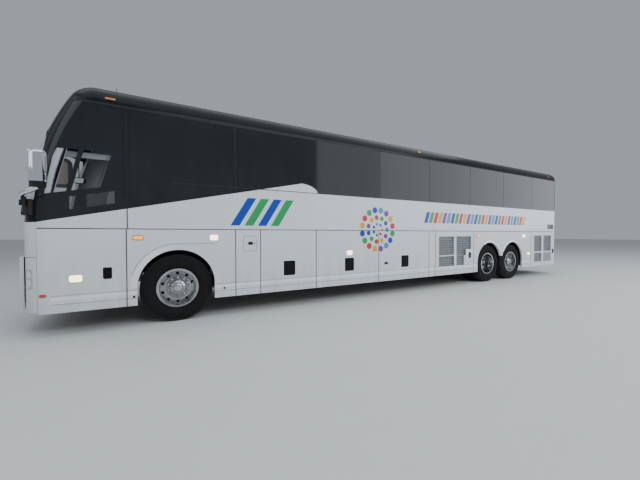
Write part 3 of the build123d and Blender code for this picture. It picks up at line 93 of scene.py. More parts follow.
class ShaderSheet:
    """Lays out the nodes of one material or node group, left to right."""

    def __init__(self, tree: NodeTree) -> None:
        """Start on an existing tree.

        Args:
            tree: the node tree of a material or of a node group.
        """
        self.tree = tree
        self._axes: tuple[Socket, Socket, Socket] | None = None

    def add(self, kind: str, **settings: object) -> Node:
        """Add a node and set its plain properties.

        Args:
            kind: Blender's name of the node type.
            settings: properties of the node, by name.

        Returns:
            The new node.
        """
        node = self.tree.nodes.new(kind)
        for name, value in settings.items():
            setattr(node, name, value)
        return node

    def feed(self, target: Socket, value: Socket | float | Sequence[float]) -> None:
        """Link a socket to target, or set target's own value.

        Args:
            target: the input that takes the value.
            value: another node's output, or a plain number or colour.
        """
        if isinstance(value, NodeSocket):
            self.tree.links.new(value, target)
        elif isinstance(value, (int, float)):
            target.default_value = value
        else:
            padded = tuple(value) + (1.0,) * (len(target.default_value) - len(value))
            target.default_value = padded

    def math(self, operation: str, first: Socket | float, second: Socket | float = 0.0) -> Socket:
        """Combine two numbers.

        Args:
            operation: name of the Math node's operation.
            first: left number.
            second: right number.

        Returns:
            The result.
        """
        node = self.add("ShaderNodeMath", operation=operation)
        self.feed(node.inputs[0], first)
        self.feed(node.inputs[1], second)
        return node.outputs[0]

    def times(self, first: Value, second: Value) -> Socket:
        """Multiply two numbers."""
        return self.math("MULTIPLY", first, second)

    def plus(self, first: Value, second: Value) -> Socket:
        """Add two numbers."""
        return self.math("ADD", first, second)

    def minus(self, first: Value, second: Value) -> Socket:
        """Take the second number from the first."""
        return self.math("SUBTRACT", first, second)

    def flip(self, mask: Socket) -> Socket:
        """Turn a mask round, so that 0 becomes 1."""
        return self.minus(1.0, mask)

    def wave(self, value: Socket, rate: float) -> Socket:
        """Return the sine of a number times a rate."""
        return self.math("SINE", self.times(value, rate))

    def reach(self, run: Socket, rise: Socket) -> Socket:
        """Return the length of a line from its run and its rise."""
        return self.math("SQRT", self.plus(self.times(run, run), self.times(rise, rise)))

    def all_of(self, *masks: Socket) -> Socket:
        """Multiply masks, so that the result is 1 where all of them are."""
        result = masks[0]
        for mask in masks[1:]:
            result = self.times(result, mask)
        return result

    def any_of(self, *masks: Socket) -> Socket:
        """Take the largest of the masks at each point."""
        result = masks[0]
        for mask in masks[1:]:
            result = self.math("MAXIMUM", result, mask)
        return result

    def place(self) -> tuple[Socket, Socket, Socket]:
        """Return X, Y and Z of the shaded point in the frame of the CAD model."""
        if self._axes is None:
            coordinates = self.add("ShaderNodeTexCoord")
            split = self.add("ShaderNodeSeparateXYZ")
            self.feed(split.inputs[0], coordinates.outputs["Object"])
            self._axes = (split.outputs[0], split.outputs[1], split.outputs[2])
        return self._axes

    def aside(self) -> Socket:
        """Return the distance of the shaded point from the middle of the coach."""
        return self.math("ABSOLUTE", self.place()[1])

    def vector(self, scale: Sequence[float] = (1, 1, 1), shift: Sequence[float] = (0, 0, 0)) -> Socket:
        """Return Object coordinates, moved and then scaled.

        Args:
            scale: factor on each axis.
            shift: point of the frame that becomes the origin.

        Returns:
            The coordinates.
        """
        coordinates = self.add("ShaderNodeTexCoord")
        mapping = self.add("ShaderNodeMapping", vector_type="POINT")
        self.feed(mapping.inputs["Vector"], coordinates.outputs["Object"])
        self.feed(mapping.inputs["Location"], [-s * f for s, f in zip(shift, scale)])
        self.feed(mapping.inputs["Scale"], scale)
        return mapping.outputs[0]

    def rise(self, value: Socket, edge: Value, soft: float = 0.0015) -> Socket:
        """Go from 0 to 1 where value passes edge.

        Args:
            value: the number looked at.
            edge: where the step is.
            soft: half the width of the step.

        Returns:
            The mask.
        """
        shifted = self.minus(value, edge)
        node = self.add("ShaderNodeMapRange", clamp=True)
        return self.give(node, Value=shifted, From_Min=-soft, From_Max=soft).outputs[0]

    def below(self, value: Socket, edge: Value, soft: float = 0.0015) -> Socket:
        """Go from 1 to 0 where value passes edge, as rise does the other way."""
        return self.flip(self.rise(value, edge, soft))

    def outside(self, distance: float, soft: float = 0.0015) -> Socket:
        """Be 1 farther than a distance from the middle of the coach."""
        return self.rise(self.aside(), distance, soft)

    def along(self, first: float, last: float, soft: float = 0.0015) -> Socket:
        """Be 1 between two distances behind the front bumper."""
        return self.within(self.place()[0], station(first), station(last), soft)

    def within(self, value: Socket, low: Value, high: Value, soft: float = 0.0015) -> Socket:
        """Be 1 between two edges and 0 elsewhere, with steps as soft as those of rise."""
        return self.minus(self.rise(value, low, soft), self.rise(value, high, soft))

    def noise(self, scale: Value, detail: float = 3.0, vector: Socket | None = None) -> Socket:
        """Return cloudy noise from 0 to 1.

        Args:
            scale: how many clouds there are in a metre.
            detail: how many finer layers are added.
            vector: coordinates, or None for Object coordinates.

        Returns:
            The noise value.
        """
        node = self.add("ShaderNodeTexNoise")
        self.give(node, Vector=vector or self.vector(), Scale=scale, Detail=detail)
        return node.outputs["Fac"]

    def blend(self, mask: Value, first: Tint, second: Tint) -> Socket:
        """Mix two colours.

        Args:
            mask: 0 gives the first colour and 1 the second.
            first: colour where the mask is 0.
            second: colour where the mask is 1.

        Returns:
            The mixed colour.
        """
        node = self.add("ShaderNodeMix", data_type="RGBA")
        self.feed(node.inputs["Factor"], mask)
        self.feed(node.inputs[6], first)
        self.feed(node.inputs[7], second)
        return node.outputs[2]

    def blend_number(self, mask: Socket, first: Socket | float, second: Socket | float) -> Socket:
        """Mix two numbers, as blend mixes two colours."""
        node = self.add("ShaderNodeMix", data_type="FLOAT")
        self.feed(node.inputs["Factor"], mask)
        self.feed(node.inputs[2], first)
        self.feed(node.inputs[3], second)
        return node.outputs[0]

    def span(self, mask: Socket, low: float, high: float) -> Socket:
        """Stretch a mask of 0 to 1 over low to high."""
        node = self.add("ShaderNodeMapRange", clamp=True)
        return self.give(node, Value=mask, To_Min=low, To_Max=high).outputs[0]

    def use(self, effect: NodeTree, **values: Socket | float) -> Node:
        """Place a shared effect, give it its values and return its node."""
        return self.give(self.add("ShaderNodeGroup", node_tree=effect), **values)

    def give(self, node: Node, **values: Value | Sequence[float]) -> Node:
        """Feed inputs of a node.

        Args:
            node: the node that takes the values.
            values: its inputs, with spaces in their names as underscores.

        Returns:
            The same node.
        """
        for name, value in values.items():
            self.feed(node.inputs[name.replace("_", " ")], value)
        return node

    def bump(self, shader: Node, height: Socket, strength: float, distance: float) -> None:
        """Raise a shader's surface by a height, as strongly and as far as the two numbers say."""
        node = self.add("ShaderNodeBump")
        self.give(node, Strength=strength, Distance=distance, Height=height)
        self.give(shader, Normal=node.outputs[0])


class SharedEffects:
    """Node groups that more than one finish uses, each built once."""

    def __init__(self) -> None:
        """Build the groups."""
        self.road_dust = self._road_dust()
        self.fine_grain = self._fine_grain()
        self.smudges = self._smudges()

    @staticmethod
    def _start(
        name: str, inputs: dict[str, float], outputs: Iterable[str]
    ) -> tuple[ShaderSheet, dict[str, Socket], Node]:
        """Open a new node group with number sockets.

        Args:
            name: name of the group.
            inputs: name and usual value of each input.
            outputs: names of the outputs.

        Returns:
            The sheet, the inputs by name, and the node that takes the outputs.
        """
        tree = bpy.data.node_groups.new(name, "ShaderNodeTree")
        for label, usual in inputs.items():
            socket = tree.interface.new_socket(label, in_out="INPUT", socket_type="NodeSocketFloat")
            socket.default_value = usual
        for label in outputs:
            tree.interface.new_socket(label, in_out="OUTPUT", socket_type="NodeSocketFloat")
        sheet = ShaderSheet(tree)
        entry = sheet.add("NodeGroupInput")
        leave = sheet.add("NodeGroupOutput")
        return sheet, {label: entry.outputs[label] for label in inputs}, leave

    def _road_dust(self) -> NodeTree:
        """Build a mask of dust that thins out upwards and lies in clouds and streaks."""
        sheet, given, leave = self._start(
            "road_dust", {"Low": 0.3, "High": 1.2, "Amount": 0.5}, ["Mask"]
        )
        height = sheet.place()[2]
        ramp = sheet.add("ShaderNodeMapRange", clamp=True)
        sheet.give(ramp, Value=height, From_Min=given["Low"], From_Max=given["High"], To_Min=1.0, To_Max=0.0)
        clouds = sheet.noise(2.3, 5.0)
        streaks = sheet.noise(1.0, 4.0, sheet.vector((9.0, 9.0, 0.9)))
        uneven = sheet.times(sheet.times(clouds, streaks), 3.2)
        thick = sheet.times(uneven, ramp.outputs[0])
        mask = sheet.times(thick, given["Amount"])
        sheet.give(leave, Mask=sheet.math("MINIMUM", mask, 1.0))
        return sheet.tree

    def _fine_grain(self) -> NodeTree:
        """Build the fine unevenness of paint, plastic or rubber."""
        sheet, given, leave = self._start("fine_grain", {"Scale": 400.0}, ["Height", "Tone"])
        sheet.give(leave, Height=sheet.noise(given["Scale"], 2.0), Tone=sheet.noise(3.0, 3.0))
        return sheet.tree

    def _smudges(self) -> NodeTree:
        """Build the faint wiping marks that show in a polished surface."""
        sheet, given, leave = self._start("smudges", {"Clean": 0.1, "Dull": 0.25}, ["Roughness"])
        marks = sheet.noise(7.0, 6.0)
        ramp = sheet.add("ShaderNodeMapRange", clamp=True)
        sheet.give(ramp, Value=marks, From_Min=0.35, From_Max=0.75)
        sheet.give(ramp, To_Min=given["Clean"], To_Max=given["Dull"])
        sheet.give(leave, Roughness=ramp.outputs[0])
        return sheet.tree


class Side(Enum):
    """The two sides of the coach, each with the sign that Y has there."""

    LEFT = -1.0
    RIGHT = 1.0

    @property
    def word(self) -> str:
        """The side's name as the CAD nodes have it."""
        return self.name.lower()


ALONG = Vector((1.0, 0.0, 0.0))
ASIDE = Vector((0.0, 1.0, 0.0))
UP = Vector((0.0, 0.0, 1.0))


class Bench:
    """Hand moves that every new piece is made with. All of them start with nothing selected."""

    @staticmethod
    def clear() -> None:
        """Leave edit mode and deselect everything."""
        if bpy.context.object and bpy.context.object.mode != "OBJECT":
            bpy.ops.object.mode_set(mode="OBJECT")
        bpy.ops.object.select_all(action="DESELECT")

    @staticmethod
    def fix_place() -> Object:
        """Move the active object's place, turn and scale into its mesh."""
        bpy.ops.object.transform_apply(location=True, rotation=True, scale=True)
        return bpy.context.object

    @staticmethod
    def block(name: str, low: Sequence[float], high: Sequence[float]) -> Object:
        """Add a box between two corners.

        Args:
            name: name of the piece.
            low: lowest corner.
            high: highest corner.

        Returns:
            The box, active and selected.
        """
        Bench.clear()
        middle = [(a + b) / 2 for a, b in zip(low, high)]
        bpy.ops.mesh.primitive_cube_add(size=1.0, location=middle)
        piece = bpy.context.object
        piece.name = name
        piece.scale = [abs(b - a) for a, b in zip(low, high)]
        return Bench.fix_place()

    @staticmethod
    def slab(
        name: str, side: Side, stations: Sequence[float], asides: Sequence[float], heights: Sequence[float]
    ) -> Object:
        """Add a box on one side, from two distances behind the bumper, two aside and two heights."""
        low, high = zip([station(s) for s in stations], [side.value * y for y in asides], heights)
        return Bench.block(name, low, high)

    @staticmethod
    def drum(
        name: str, centre: Sequence[float], radius: float, depth: float, axis: str = "Y",
        sides: int = 32, capped: bool = True,
    ) -> Object:
        """Add a cylinder along one axis.

        Args:
            name: name of the piece.
            centre: its middle.
            radius: its radius.
            depth: its length.
            axis: X, Y or Z.
            sides: number of its sides.
            capped: False leaves the ends open.

        Returns:
            The cylinder, active and selected.
        """
        Bench.clear()
        turns = {"X": (0.0, math.pi / 2, 0.0), "Y": (math.pi / 2, 0.0, 0.0), "Z": (0.0, 0.0, 0.0)}
        bpy.ops.mesh.primitive_cylinder_add(
            vertices=sides, radius=radius, depth=depth, location=centre, rotation=turns[axis],
            end_fill_type="NGON" if capped else "NOTHING",
        )
        piece = bpy.context.object
        piece.name = name
        return Bench.fix_place()

    @staticmethod
    def choose(piece: Object, wanted: Callable[[Vector, Vector], bool]) -> int:
        """Enter edit mode with the wanted faces selected.

        Args:
            piece: the object to edit.
            wanted: takes a face's middle and normal and says if it is wanted.

        Returns:
            How many faces are selected.
        """
        Bench.activate(piece)
        bpy.ops.object.mode_set(mode="EDIT")
        bpy.ops.mesh.select_mode(type="FACE")
        bpy.ops.mesh.select_all(action="DESELECT")
        form = bmesh.from_edit_mesh(piece.data)
        found = [face for face in form.faces if wanted(face.calc_center_median(), face.normal)]
        for face in found:
            face.select_set(True)
        bmesh.update_edit_mesh(piece.data)
        return len(found)

    @staticmethod
    def face(piece: Object, towards: Vector) -> None:
        """Enter edit mode with the faces selected that look one way."""
        Bench.choose(piece, lambda _, normal: normal.dot(towards) > 0.9)

    @staticmethod
    def terrace(piece: Object, towards: Vector, *steps: tuple[float, float]) -> None:
        """Shape the face that looks one way in steps.

        Args:
            piece: the object to edit.
            towards: the way the face looks.
            steps: how far each step is inset, and how far it then stands out, or in where below 0.
        """
        Bench.face(piece, towards)
        for width, out in steps:
            Bench.rim(width)
            Bench.push(towards * out)
        Bench.clear()

    @staticmethod
    def slice(piece: Object, axis: Vector, places: Iterable[float]) -> None:
        """Cut the mesh of a piece across an axis at some places, and keep all of it."""
        for place in places:
            Bench.activate(piece)
            bpy.ops.object.mode_set(mode="EDIT")
            bpy.ops.mesh.select_all(action="SELECT")
            bpy.ops.mesh.bisect(plane_co=axis * place, plane_no=axis)
        Bench.clear()

    @staticmethod
    def choose_edges(piece: Object, wanted: Callable[[Vector, Vector], bool]) -> int:
        """Enter edit mode with the wanted edges selected.

        Args:
            piece: the object to edit.
            wanted: takes an edge's two ends and says if it is wanted.

        Returns:
            How many edges are selected.
        """
        Bench.activate(piece)
        bpy.ops.object.mode_set(mode="EDIT")
        bpy.ops.mesh.select_mode(type="EDGE")
        bpy.ops.mesh.select_all(action="DESELECT")
        form = bmesh.from_edit_mesh(piece.data)
        found = [edge for edge in form.edges if wanted(edge.verts[0].co, edge.verts[1].co)]
        for edge in found:
            edge.select_set(True)
        bmesh.update_edit_mesh(piece.data)
        return len(found)

    @staticmethod
    def activate(piece: Object) -> None:
        """Select one piece alone and make it active."""
        Bench.clear()
        piece.select_set(True)
        bpy.context.view_layer.objects.active = piece

    @staticmethod
    def round_edges(
        piece: Object, wanted: Callable[[Vector, Vector], bool], radius: float, steps: int = 4
    ) -> None:
        """Bevel the wanted edges of a piece."""
        if Bench.choose_edges(piece, wanted):
            bpy.ops.mesh.bevel(offset=radius, segments=steps, affect="EDGES")
        Bench.clear()

    @staticmethod
    def push(out: Sequence[float]) -> None:
        """Extrude the selected faces along a vector."""
        bpy.ops.mesh.extrude_region_move(TRANSFORM_OT_translate={"value": tuple(out)})

    @staticmethod
    def rim(width: float) -> None:
        """Inset the selected faces, each group as one."""
        bpy.ops.mesh.inset(thickness=width, use_even_offset=True)

    @staticmethod
    def slide(move: Sequence[float]) -> None:
        """Move what is selected."""
        bpy.ops.transform.translate(value=tuple(move))

    @staticmethod
    def scale(ratios: Sequence[float], centre: Sequence[float] = (0.0, 0.0, 0.0)) -> None:
        """Scale what is selected round a point."""
        bpy.ops.transform.resize(value=ratios, center_override=centre)

    @staticmethod
    def cover(piece: Object, *materials: Material) -> None:
        """Add materials to a piece."""
        for material in materials:
            piece.data.materials.append(material)

    @staticmethod
    def paint_chosen(piece: Object, slot_index: int) -> None:
        """Give the selected faces one of the piece's materials."""
        piece.active_material_index = slot_index
        bpy.ops.object.material_slot_assign()

    @staticmethod
    def soften(piece: Object, width: float, steps: int = 2) -> None:
        """Round every sharp edge of a piece with an applied bevel."""
        Bench.activate(piece)
        bevel = piece.modifiers.new("soft_edges", "BEVEL")
        bevel.width = width
        bevel.segments = steps
        bevel.limit_method = "ANGLE"
        bevel.angle_limit = math.radians(40)
        bpy.ops.object.modifier_apply(modifier=bevel.name)

    @staticmethod
    def tidy_normals(piece: Object) -> None:
        """Merge doubles and turn every face outwards."""
        Bench.activate(piece)
        bpy.ops.object.mode_set(mode="EDIT")
        bpy.ops.mesh.select_all(action="SELECT")
        bpy.ops.mesh.remove_doubles(threshold=0.00001)
        bpy.ops.mesh.normals_make_consistent(inside=False)
        Bench.clear()

    @staticmethod
    def twin(piece: Object, name: str, place: Matrix) -> Object:
        """Copy a piece with its own mesh, and move the copy's mesh.

        Args:
            piece: what is copied.
            name: name of the copy.
            place: the move.

        Returns:
            The copy.
        """
        other = piece.copy()
        other.data = piece.data.copy()
        other.name = name
        other.data.transform(place)
        if place.determinant() < 0:
            other.data.flip_normals()
        bpy.context.scene.collection.objects.link(other)
        return other

    @staticmethod
    def move(piece: Object, name: str, place: Matrix) -> Object:
        """Put a pattern piece that is used once in its place, under a new name."""
        moved = Bench.twin(piece, name, place)
        Bench.drop(piece)
        return moved

    @staticmethod
    def drop(piece: Object) -> None:
        """Delete a pattern piece once its copies are made."""
        bpy.data.objects.remove(piece, do_unlink=True)

    @staticmethod
    def join(name: str, pieces: Sequence[Object]) -> Object:
        """Join several pieces into one mesh and name it."""
        Bench.clear()
        for piece in pieces:
            piece.select_set(True)
        bpy.context.view_layer.objects.active = pieces[0]
        if len(pieces) > 1:
            bpy.ops.object.join()
        pieces[0].name = name
        return pieces[0]

    @staticmethod
    def settle(
        piece: Object, body: str, slot: str, *materials: Material, angle: float = 38.0
    ) -> Object:
        """Shade a finished piece, give it its materials and let it ride on its body.

        Args:
            piece: the finished piece.
            body: the body of the frame that carries it.
            slot: the record's material slot nearest to its finish; not used.
            materials: its materials, or none where it already has them.
            angle: the angle in degrees from which an edge stays sharp.

        Returns:
            The piece.
        """
        Bench.activate(piece)
        bpy.ops.object.shade_smooth_by_angle(angle=math.radians(angle))
        if materials:
            piece.data.materials.clear()
            Bench.cover(piece, *materials)
        Bench.clear()
        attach(piece, body)
        log.info("%s rides on %s", piece.name, body)
        return piece


@dataclass(frozen=True)
class Finish:
    """A material of one colour family, with grain, tone changes and dust."""

    name: str
    colour: Colour
    roughness: float = 0.5
    metallic: float = 0.0
    coat: float = 0.0
    grain: float = 400.0
    relief: float = 0.1
    dust: float = 0.0
    tone: float = 0.12
    shine: float = 0.5

    def open(self) -> tuple[Material, ShaderSheet, Node]:
        """Start the material.

        Returns:
            The material, its sheet and its Principled shader.
        """
        material = bpy.data.materials.new(self.name)
        material.use_nodes = True
        sheet = ShaderSheet(material.node_tree)
        shader = next(node for node in material.node_tree.nodes if node.type == "BSDF_PRINCIPLED")
        sheet.give(shader, Metallic=self.metallic, Specular_IOR_Level=self.shine)
        sheet.give(shader, Coat_Weight=self.coat, Coat_Roughness=0.04)
        return material, sheet, shader

    def base(self, sheet: ShaderSheet, effects: SharedEffects) -> Socket:
        """Return the clean colour before dust, a little uneven in tone."""
        grain = sheet.use(effects.fine_grain, Scale=self.grain)
        darker = tuple(channel * (1.0 - self.tone) for channel in self.colour)
        return sheet.blend(grain.outputs["Tone"], darker, self.colour)

    def smudged(
        self, sheet: ShaderSheet, effects: SharedEffects, clean: float = 1.0, dull: float = 2.0
    ) -> Socket:
        """Return the roughness with wiping marks, between two multiples of the finish's own."""
        marks = sheet.use(effects.smudges, Clean=self.roughness * clean, Dull=self.roughness * dull)
        return marks.outputs["Roughness"]

    def build(self, effects: SharedEffects) -> Material:
        """Make the material.

        Args:
            effects: the shared node groups.

        Returns:
            The finished material.
        """
        material, sheet, shader = self.open()
        colour = self.base(sheet, effects)
        rough = sheet.span(sheet.noise(11.0, 4.0), self.roughness * 0.8, self.roughness * 1.2)
        if self.dust:
            cover = sheet.use(effects.road_dust, Amount=self.dust, High=1.1).outputs["Mask"]
            colour = sheet.blend(cover, colour, (0.30, 0.27, 0.23))
            rough = sheet.math("MAXIMUM", rough, sheet.times(cover, 0.8))
        sheet.give(shader, Base_Color=colour, Roughness=rough)
        grain = sheet.use(effects.fine_grain, Scale=self.grain)
        sheet.bump(shader, grain.outputs["Height"], self.relief, 0.001)
        return material


@dataclass(frozen=True)
class GlassLine:
    """Lower edge of the dark glass along a side: level, then rising, then level again."""

    front: float = 0.345
    low: float = 1.512
    rear: float = 3.287
    high: float = 2.130

    def height(self, sheet: ShaderSheet, x: Socket) -> Socket:
        """Return the height of the line at X."""
        return sheet.math("MINIMUM", sheet.math("MAXIMUM", self.unbroken(sheet, x), self.low), self.high)

    def unbroken(self, sheet: ShaderSheet, x: Socket) -> Socket:
        """Return the height of the rising line drawn on past its end."""
        slope = (self.high - self.low) / (self.rear - self.front)
        run = sheet.minus(x, station(self.front))
        return sheet.plus(sheet.times(run, slope), self.low)


SIDE_SEAMS = (0.345, 1.336, 2.868, 4.4215, 5.975, 7.5285, 9.082, 10.6355, 12.189, 13.700)
SIDE_WALL = 1.295
GRILLE_OPENINGS: tuple[tuple[str, float, float, float, float], ...] = (
    ("middle_grille_door", 7.882, 8.452, 0.821, 1.292),
    ("middle_grille_door", 8.545, 9.149, 0.797, 1.294),
    ("middle_grille_door", 7.882, 8.860, 0.536, 0.790),
    ("rear_grille_door", 12.360, 12.829, 0.795, 1.307),
    ("rear_grille_door", 12.949, 13.440, 0.795, 1.307),
    ("rear_grille_door", 12.374, 12.838, 0.465, 0.745),
    ("coach_body", 13.187, 13.588, 1.521, 1.675),
)
VINYL_COLOURS: tuple[Colour, ...] = (
    (0.01, 0.06, 0.42),
    (0.02, 0.34, 0.10),
    (0.62, 0.03, 0.03),
    (0.72, 0.40, 0.02),
    (0.22, 0.03, 0.36),
    (0.02, 0.33, 0.45),
)


@dataclass(frozen=True)
class SlantedBars:
    """A row of slanted bars of coloured film."""

    first: float
    last: float
    low: float
    high: float
    pitch: float
    width: float
    slant: float
    colours: tuple[Colour, ...]

    def draw(self, sheet: ShaderSheet) -> tuple[Socket, Socket]:
        """Return the mask of the bars and their colour."""
        x, _, z = sheet.place()
        rise = sheet.times(sheet.minus(z, self.low), self.slant)
        run = sheet.minus(sheet.minus(x, station(self.first)), rise)
        number = sheet.math("DIVIDE", run, self.pitch)
        part = sheet.math("FRACT", number)
        edge = 0.0015 / self.pitch
        bar = sheet.within(part, edge * 2, self.width / self.pitch, edge)
        ends = sheet.within(run, 0.0, self.last - self.first, 0.001)
        mask = sheet.all_of(bar, ends, sheet.within(z, self.low, self.high))
        return mask, colour_cycle(sheet, sheet.math("FLOOR", number), self.colours)


@dataclass(frozen=True)
class DotRing:
    """A ring of round coloured dots."""

    centre: tuple[float, float]
    radius: float
    dot: float
    count: int

    def draw(self, sheet: ShaderSheet) -> tuple[Socket, Socket]:
        """Return the mask of the dots and their colour."""
        x, _, z = sheet.place()
        run = sheet.minus(x, station(self.centre[0]))
        rise = sheet.minus(z, self.centre[1])
        reach = sheet.reach(run, rise)
        turn = sheet.plus(sheet.math("ARCTAN2", rise, run), math.pi)
        sector = math.tau / self.count
        number = sheet.math("DIVIDE", turn, sector)
        aside = sheet.minus(sheet.times(sheet.math("FRACT", number), sector), sector / 2)
        along = sheet.minus(sheet.times(reach, sheet.math("COSINE", aside)), self.radius)
        across = sheet.times(reach, sheet.math("SINE", aside))
        away = sheet.reach(along, across)
        mask = sheet.below(away, self.dot, 0.001)
        return mask, colour_cycle(sheet, sheet.math("FLOOR", number), VINYL_COLOURS)


def colour_cycle(sheet: ShaderSheet, number: Socket, colours: Sequence[Colour]) -> Socket:
    """Pick colours in turn.

    Args:
        sheet: where the nodes go.
        number: a whole number that grows along the row.
        colours: the colours, in order.

    Returns:
        The colour at each point.
    """
    turn = sheet.math("FRACT", sheet.math("DIVIDE", sheet.plus(number, 0.5), float(len(colours))))
    ramp = sheet.add("ShaderNodeValToRGB")
    ramp.color_ramp.interpolation = "CONSTANT"
    stops = ramp.color_ramp.elements
    while len(stops) < len(colours):
        stops.new(1.0)
    for index, colour in enumerate(colours):
        stops[index].position = index / len(colours)
        stops[index].color = (*colour, 1.0)
    sheet.give(ramp, Fac=turn)
    return ramp.outputs["Color"]


@dataclass(frozen=True)
class CoachPaint(Finish):
    """White body paint, gloss black round the glass and over the coves, with films on the sides, and painted
    shade and painted highlights along the skirt moulding and round the wheel arches.
    """

    line: GlassLine = GlassLine()
    cove: float = 1.000
    cap_rear: float = 1.350
    handles: tuple[tuple[float, float, float, float], ...] = (
        (3.734, 3.965, 0.599, 0.867),
        (5.072, 5.299, 0.599, 0.867),
        (6.620, 6.850, 0.599, 0.867),
        (1.042, 1.148, 0.730, 0.894),
        (8.940, 9.234, 0.609, 0.780),
        (13.519, 13.633, 0.700, 0.850),
    )
    seams: tuple[float, ...] = (1.322, 2.869, 3.301, 4.408, 5.954, 7.524, 7.750, 9.259, 12.177)
    seam_foot: float = 0.318
    belt: float = 1.432
    window_seam: tuple[float, float, float] = (1.336, 1.432, 1.722)
    corner: float = 0.026
    inner_face: float = 1.2866
    lining_rear: float = 1.30
    lining_heights: tuple[float, float] = (1.516, 3.168)
    skirt: tuple[float, float] = (0.480, 13.50)
    # Radii of the painted shade line along the front arch groove, the painted highlight on the front flare
    # and the painted shadow ring round the rear arch lips.
    crease: tuple[float, float] = (0.626, 0.641)
    front_lip: tuple[float, float] = (0.540, 0.622)
    rear_ring: tuple[float, float] = (0.602, 0.616)
    flap: tuple[float, float, float, float] = (2.999, 3.233, 1.064, 1.324)
    flap_gap: float = 0.006
    arch_height: float = 0.575
    front_axle: float = 1.990
    rear_axles: tuple[float, float] = (9.981, 11.131)

    def _louvre_area(self, sheet: ShaderSheet) -> Socket:
        """Mask the grey slats of the side grilles."""
        z = sheet.place()[2]
        panes = [
            sheet.times(sheet.along(s0, s1), sheet.within(z, z0, z1))
            for _, s0, s1, z0, z1 in GRILLE_OPENINGS
        ]
        return sheet.times(sheet.any_of(*panes), sheet.outside(1.24))

    def _mouldings(self, sheet: ShaderSheet) -> tuple[Socket, Socket]:
        """Mask the painted shade and the painted highlights of the skirt moulding, the front arch groove and
        the rear arch lips.
        """
        x, _, z = sheet.place()
        run = sheet.minus(x, station(self.front_axle))
        rise = sheet.minus(z, self.arch_height)
        reach = sheet.reach(run, rise)
        ahead = sheet.below(run, 0.0)
        # Painted shade along the front arch groove and its level run, and a painted highlight on the flare
        # inside it.
        crease = sheet.all_of(sheet.within(reach, *self.crease, 0.003), ahead, sheet.rise(rise, 0.184))
        level = sheet.all_of(sheet.within(z, 1.203, 1.216, 0.003), sheet.within(run, 0.0, 0.554))
        fade = sheet.below(run, -0.16, 0.16)
        lip = sheet.all_of(sheet.within(reach, *self.front_lip, 0.010), fade, sheet.rise(rise, 0.0))
        along = sheet.along(*self.skirt)
        # Painted shade under the edges of the skirt moulding and painted highlights on its faces that tilt
        # up, plus painted shadow rings round the rear arch lips.
        shade = sheet.any_of(sheet.within(z, 0.538, 0.549, 0.003), sheet.within(z, 0.422, 0.436, 0.003))
        bright = sheet.any_of(sheet.within(z, 0.478, 0.536, 0.010), sheet.within(z, 0.439, 0.452, 0.003))
        outside = sheet.outside(1.280, 0.002)
        reaches = [sheet.reach(sheet.minus(x, station(axle)), rise) for axle in self.rear_axles]
        rings = [sheet.within(far, *self.rear_ring, 0.004) for far in reaches]
        ring = sheet.times(sheet.any_of(*rings), sheet.rise(rise, 0.30))
        dark = sheet.any_of(crease, level, sheet.times(shade, along), ring)
        dark = sheet.times(dark, outside)
        light = sheet.any_of(sheet.times(bright, along), sheet.times(lip, 0.8))
        return dark, sheet.times(light, outside)

    def _inner_trim(self, sheet: ShaderSheet) -> Socket:
        """Mask the pale lining on the inner faces round the driver's place."""
        x, _, z = sheet.place()
        inside = sheet.below(sheet.aside(), self.inner_face, 0.0004)
        ahead = sheet.below(x, station(self.lining_rear))
        return sheet.all_of(inside, ahead, sheet.within(z, *self.lining_heights))

    def _seam_lines(self, sheet: ShaderSheet) -> Socket:
        """Mask the dark shut lines between the lower panels and along the belt."""
        _, y, z = sheet.place()
        outside = sheet.outside(1.270, 0.001)
        upright = [(seam, self.seam_foot, self.belt) for seam in self.seams] + [self.window_seam]
        lines = [
            sheet.times(sheet.along(seam - 0.008, seam + 0.008), sheet.within(z, low, high))
            for seam, low, high in upright
        ]
        band = sheet.within(z, self.belt - 0.0075, self.belt + 0.0075)
        level = sheet.times(band, sheet.along(SIDE_SEAMS[0], SIDE_SEAMS[-1]))
        s0, s1, z0, z1 = self.flap
        gap = self.flap_gap
        inner = sheet.times(sheet.along(s0 + gap, s1 - gap), sheet.within(z, z0 + gap, z1 - gap))
        flap = sheet.all_of(
            sheet.along(s0, s1), sheet.within(z, z0, z1), sheet.flip(inner), sheet.below(y, 0.0)
        )
        return sheet.times(sheet.any_of(level, flap, *lines), outside)

    def _films(self, sheet: ShaderSheet, colour: Socket) -> tuple[Socket, Socket]:
        """Lay the coloured films on the sides.

        Args:
            sheet: the material's sheet.
            colour: the paint under them.

        Returns:
            The colour with the films, and their mask.
        """
        outside = sheet.outside(1.292, 0.001)
        films = (
            SlantedBars(2.780, 3.650, 1.501, 1.975, 0.235, 0.155, 0.62, VINYL_COLOURS[:2]),
            SlantedBars(7.344, 11.780, 1.625, 1.890, 0.158, 0.124, 0.34, VINYL_COLOURS),
            DotRing((5.928, 1.453), 0.425, 0.066, 16),
            DotRing((5.928, 1.453), 0.262, 0.052, 11),
            DotRing((5.928, 1.453), 0.120, 0.034, 7),
        )
        cover = None
        for film in films:
            mask, tint = film.draw(sheet)
            mask = sheet.times(mask, outside)
            colour = sheet.blend(mask, colour, tint)
            cover = mask if cover is None else sheet.math("MAXIMUM", cover, mask)
        return colour, cover

    def _black_area(self, sheet: ShaderSheet) -> Socket:
        """Mask what is gloss black: all above the glass line but the roof's white middle."""
        x, _, z = sheet.place()
        above = sheet.rise(z, self.line.height(sheet, x), 0.001)
        low_roof = sheet.below(z, 3.30)
        beside = sheet.outside(self.cove)
        ahead = sheet.below(x, station(self.cap_rear))
        return sheet.times(above, sheet.any_of(low_roof, beside, ahead))

    def _handle_area(self, sheet: ShaderSheet) -> Socket:
        """Mask the black trays of the recessed handles."""
        trays = [self._rounded(sheet, *row) for row in self.handles]
        return sheet.times(sheet.any_of(*trays), sheet.outside(1.2))

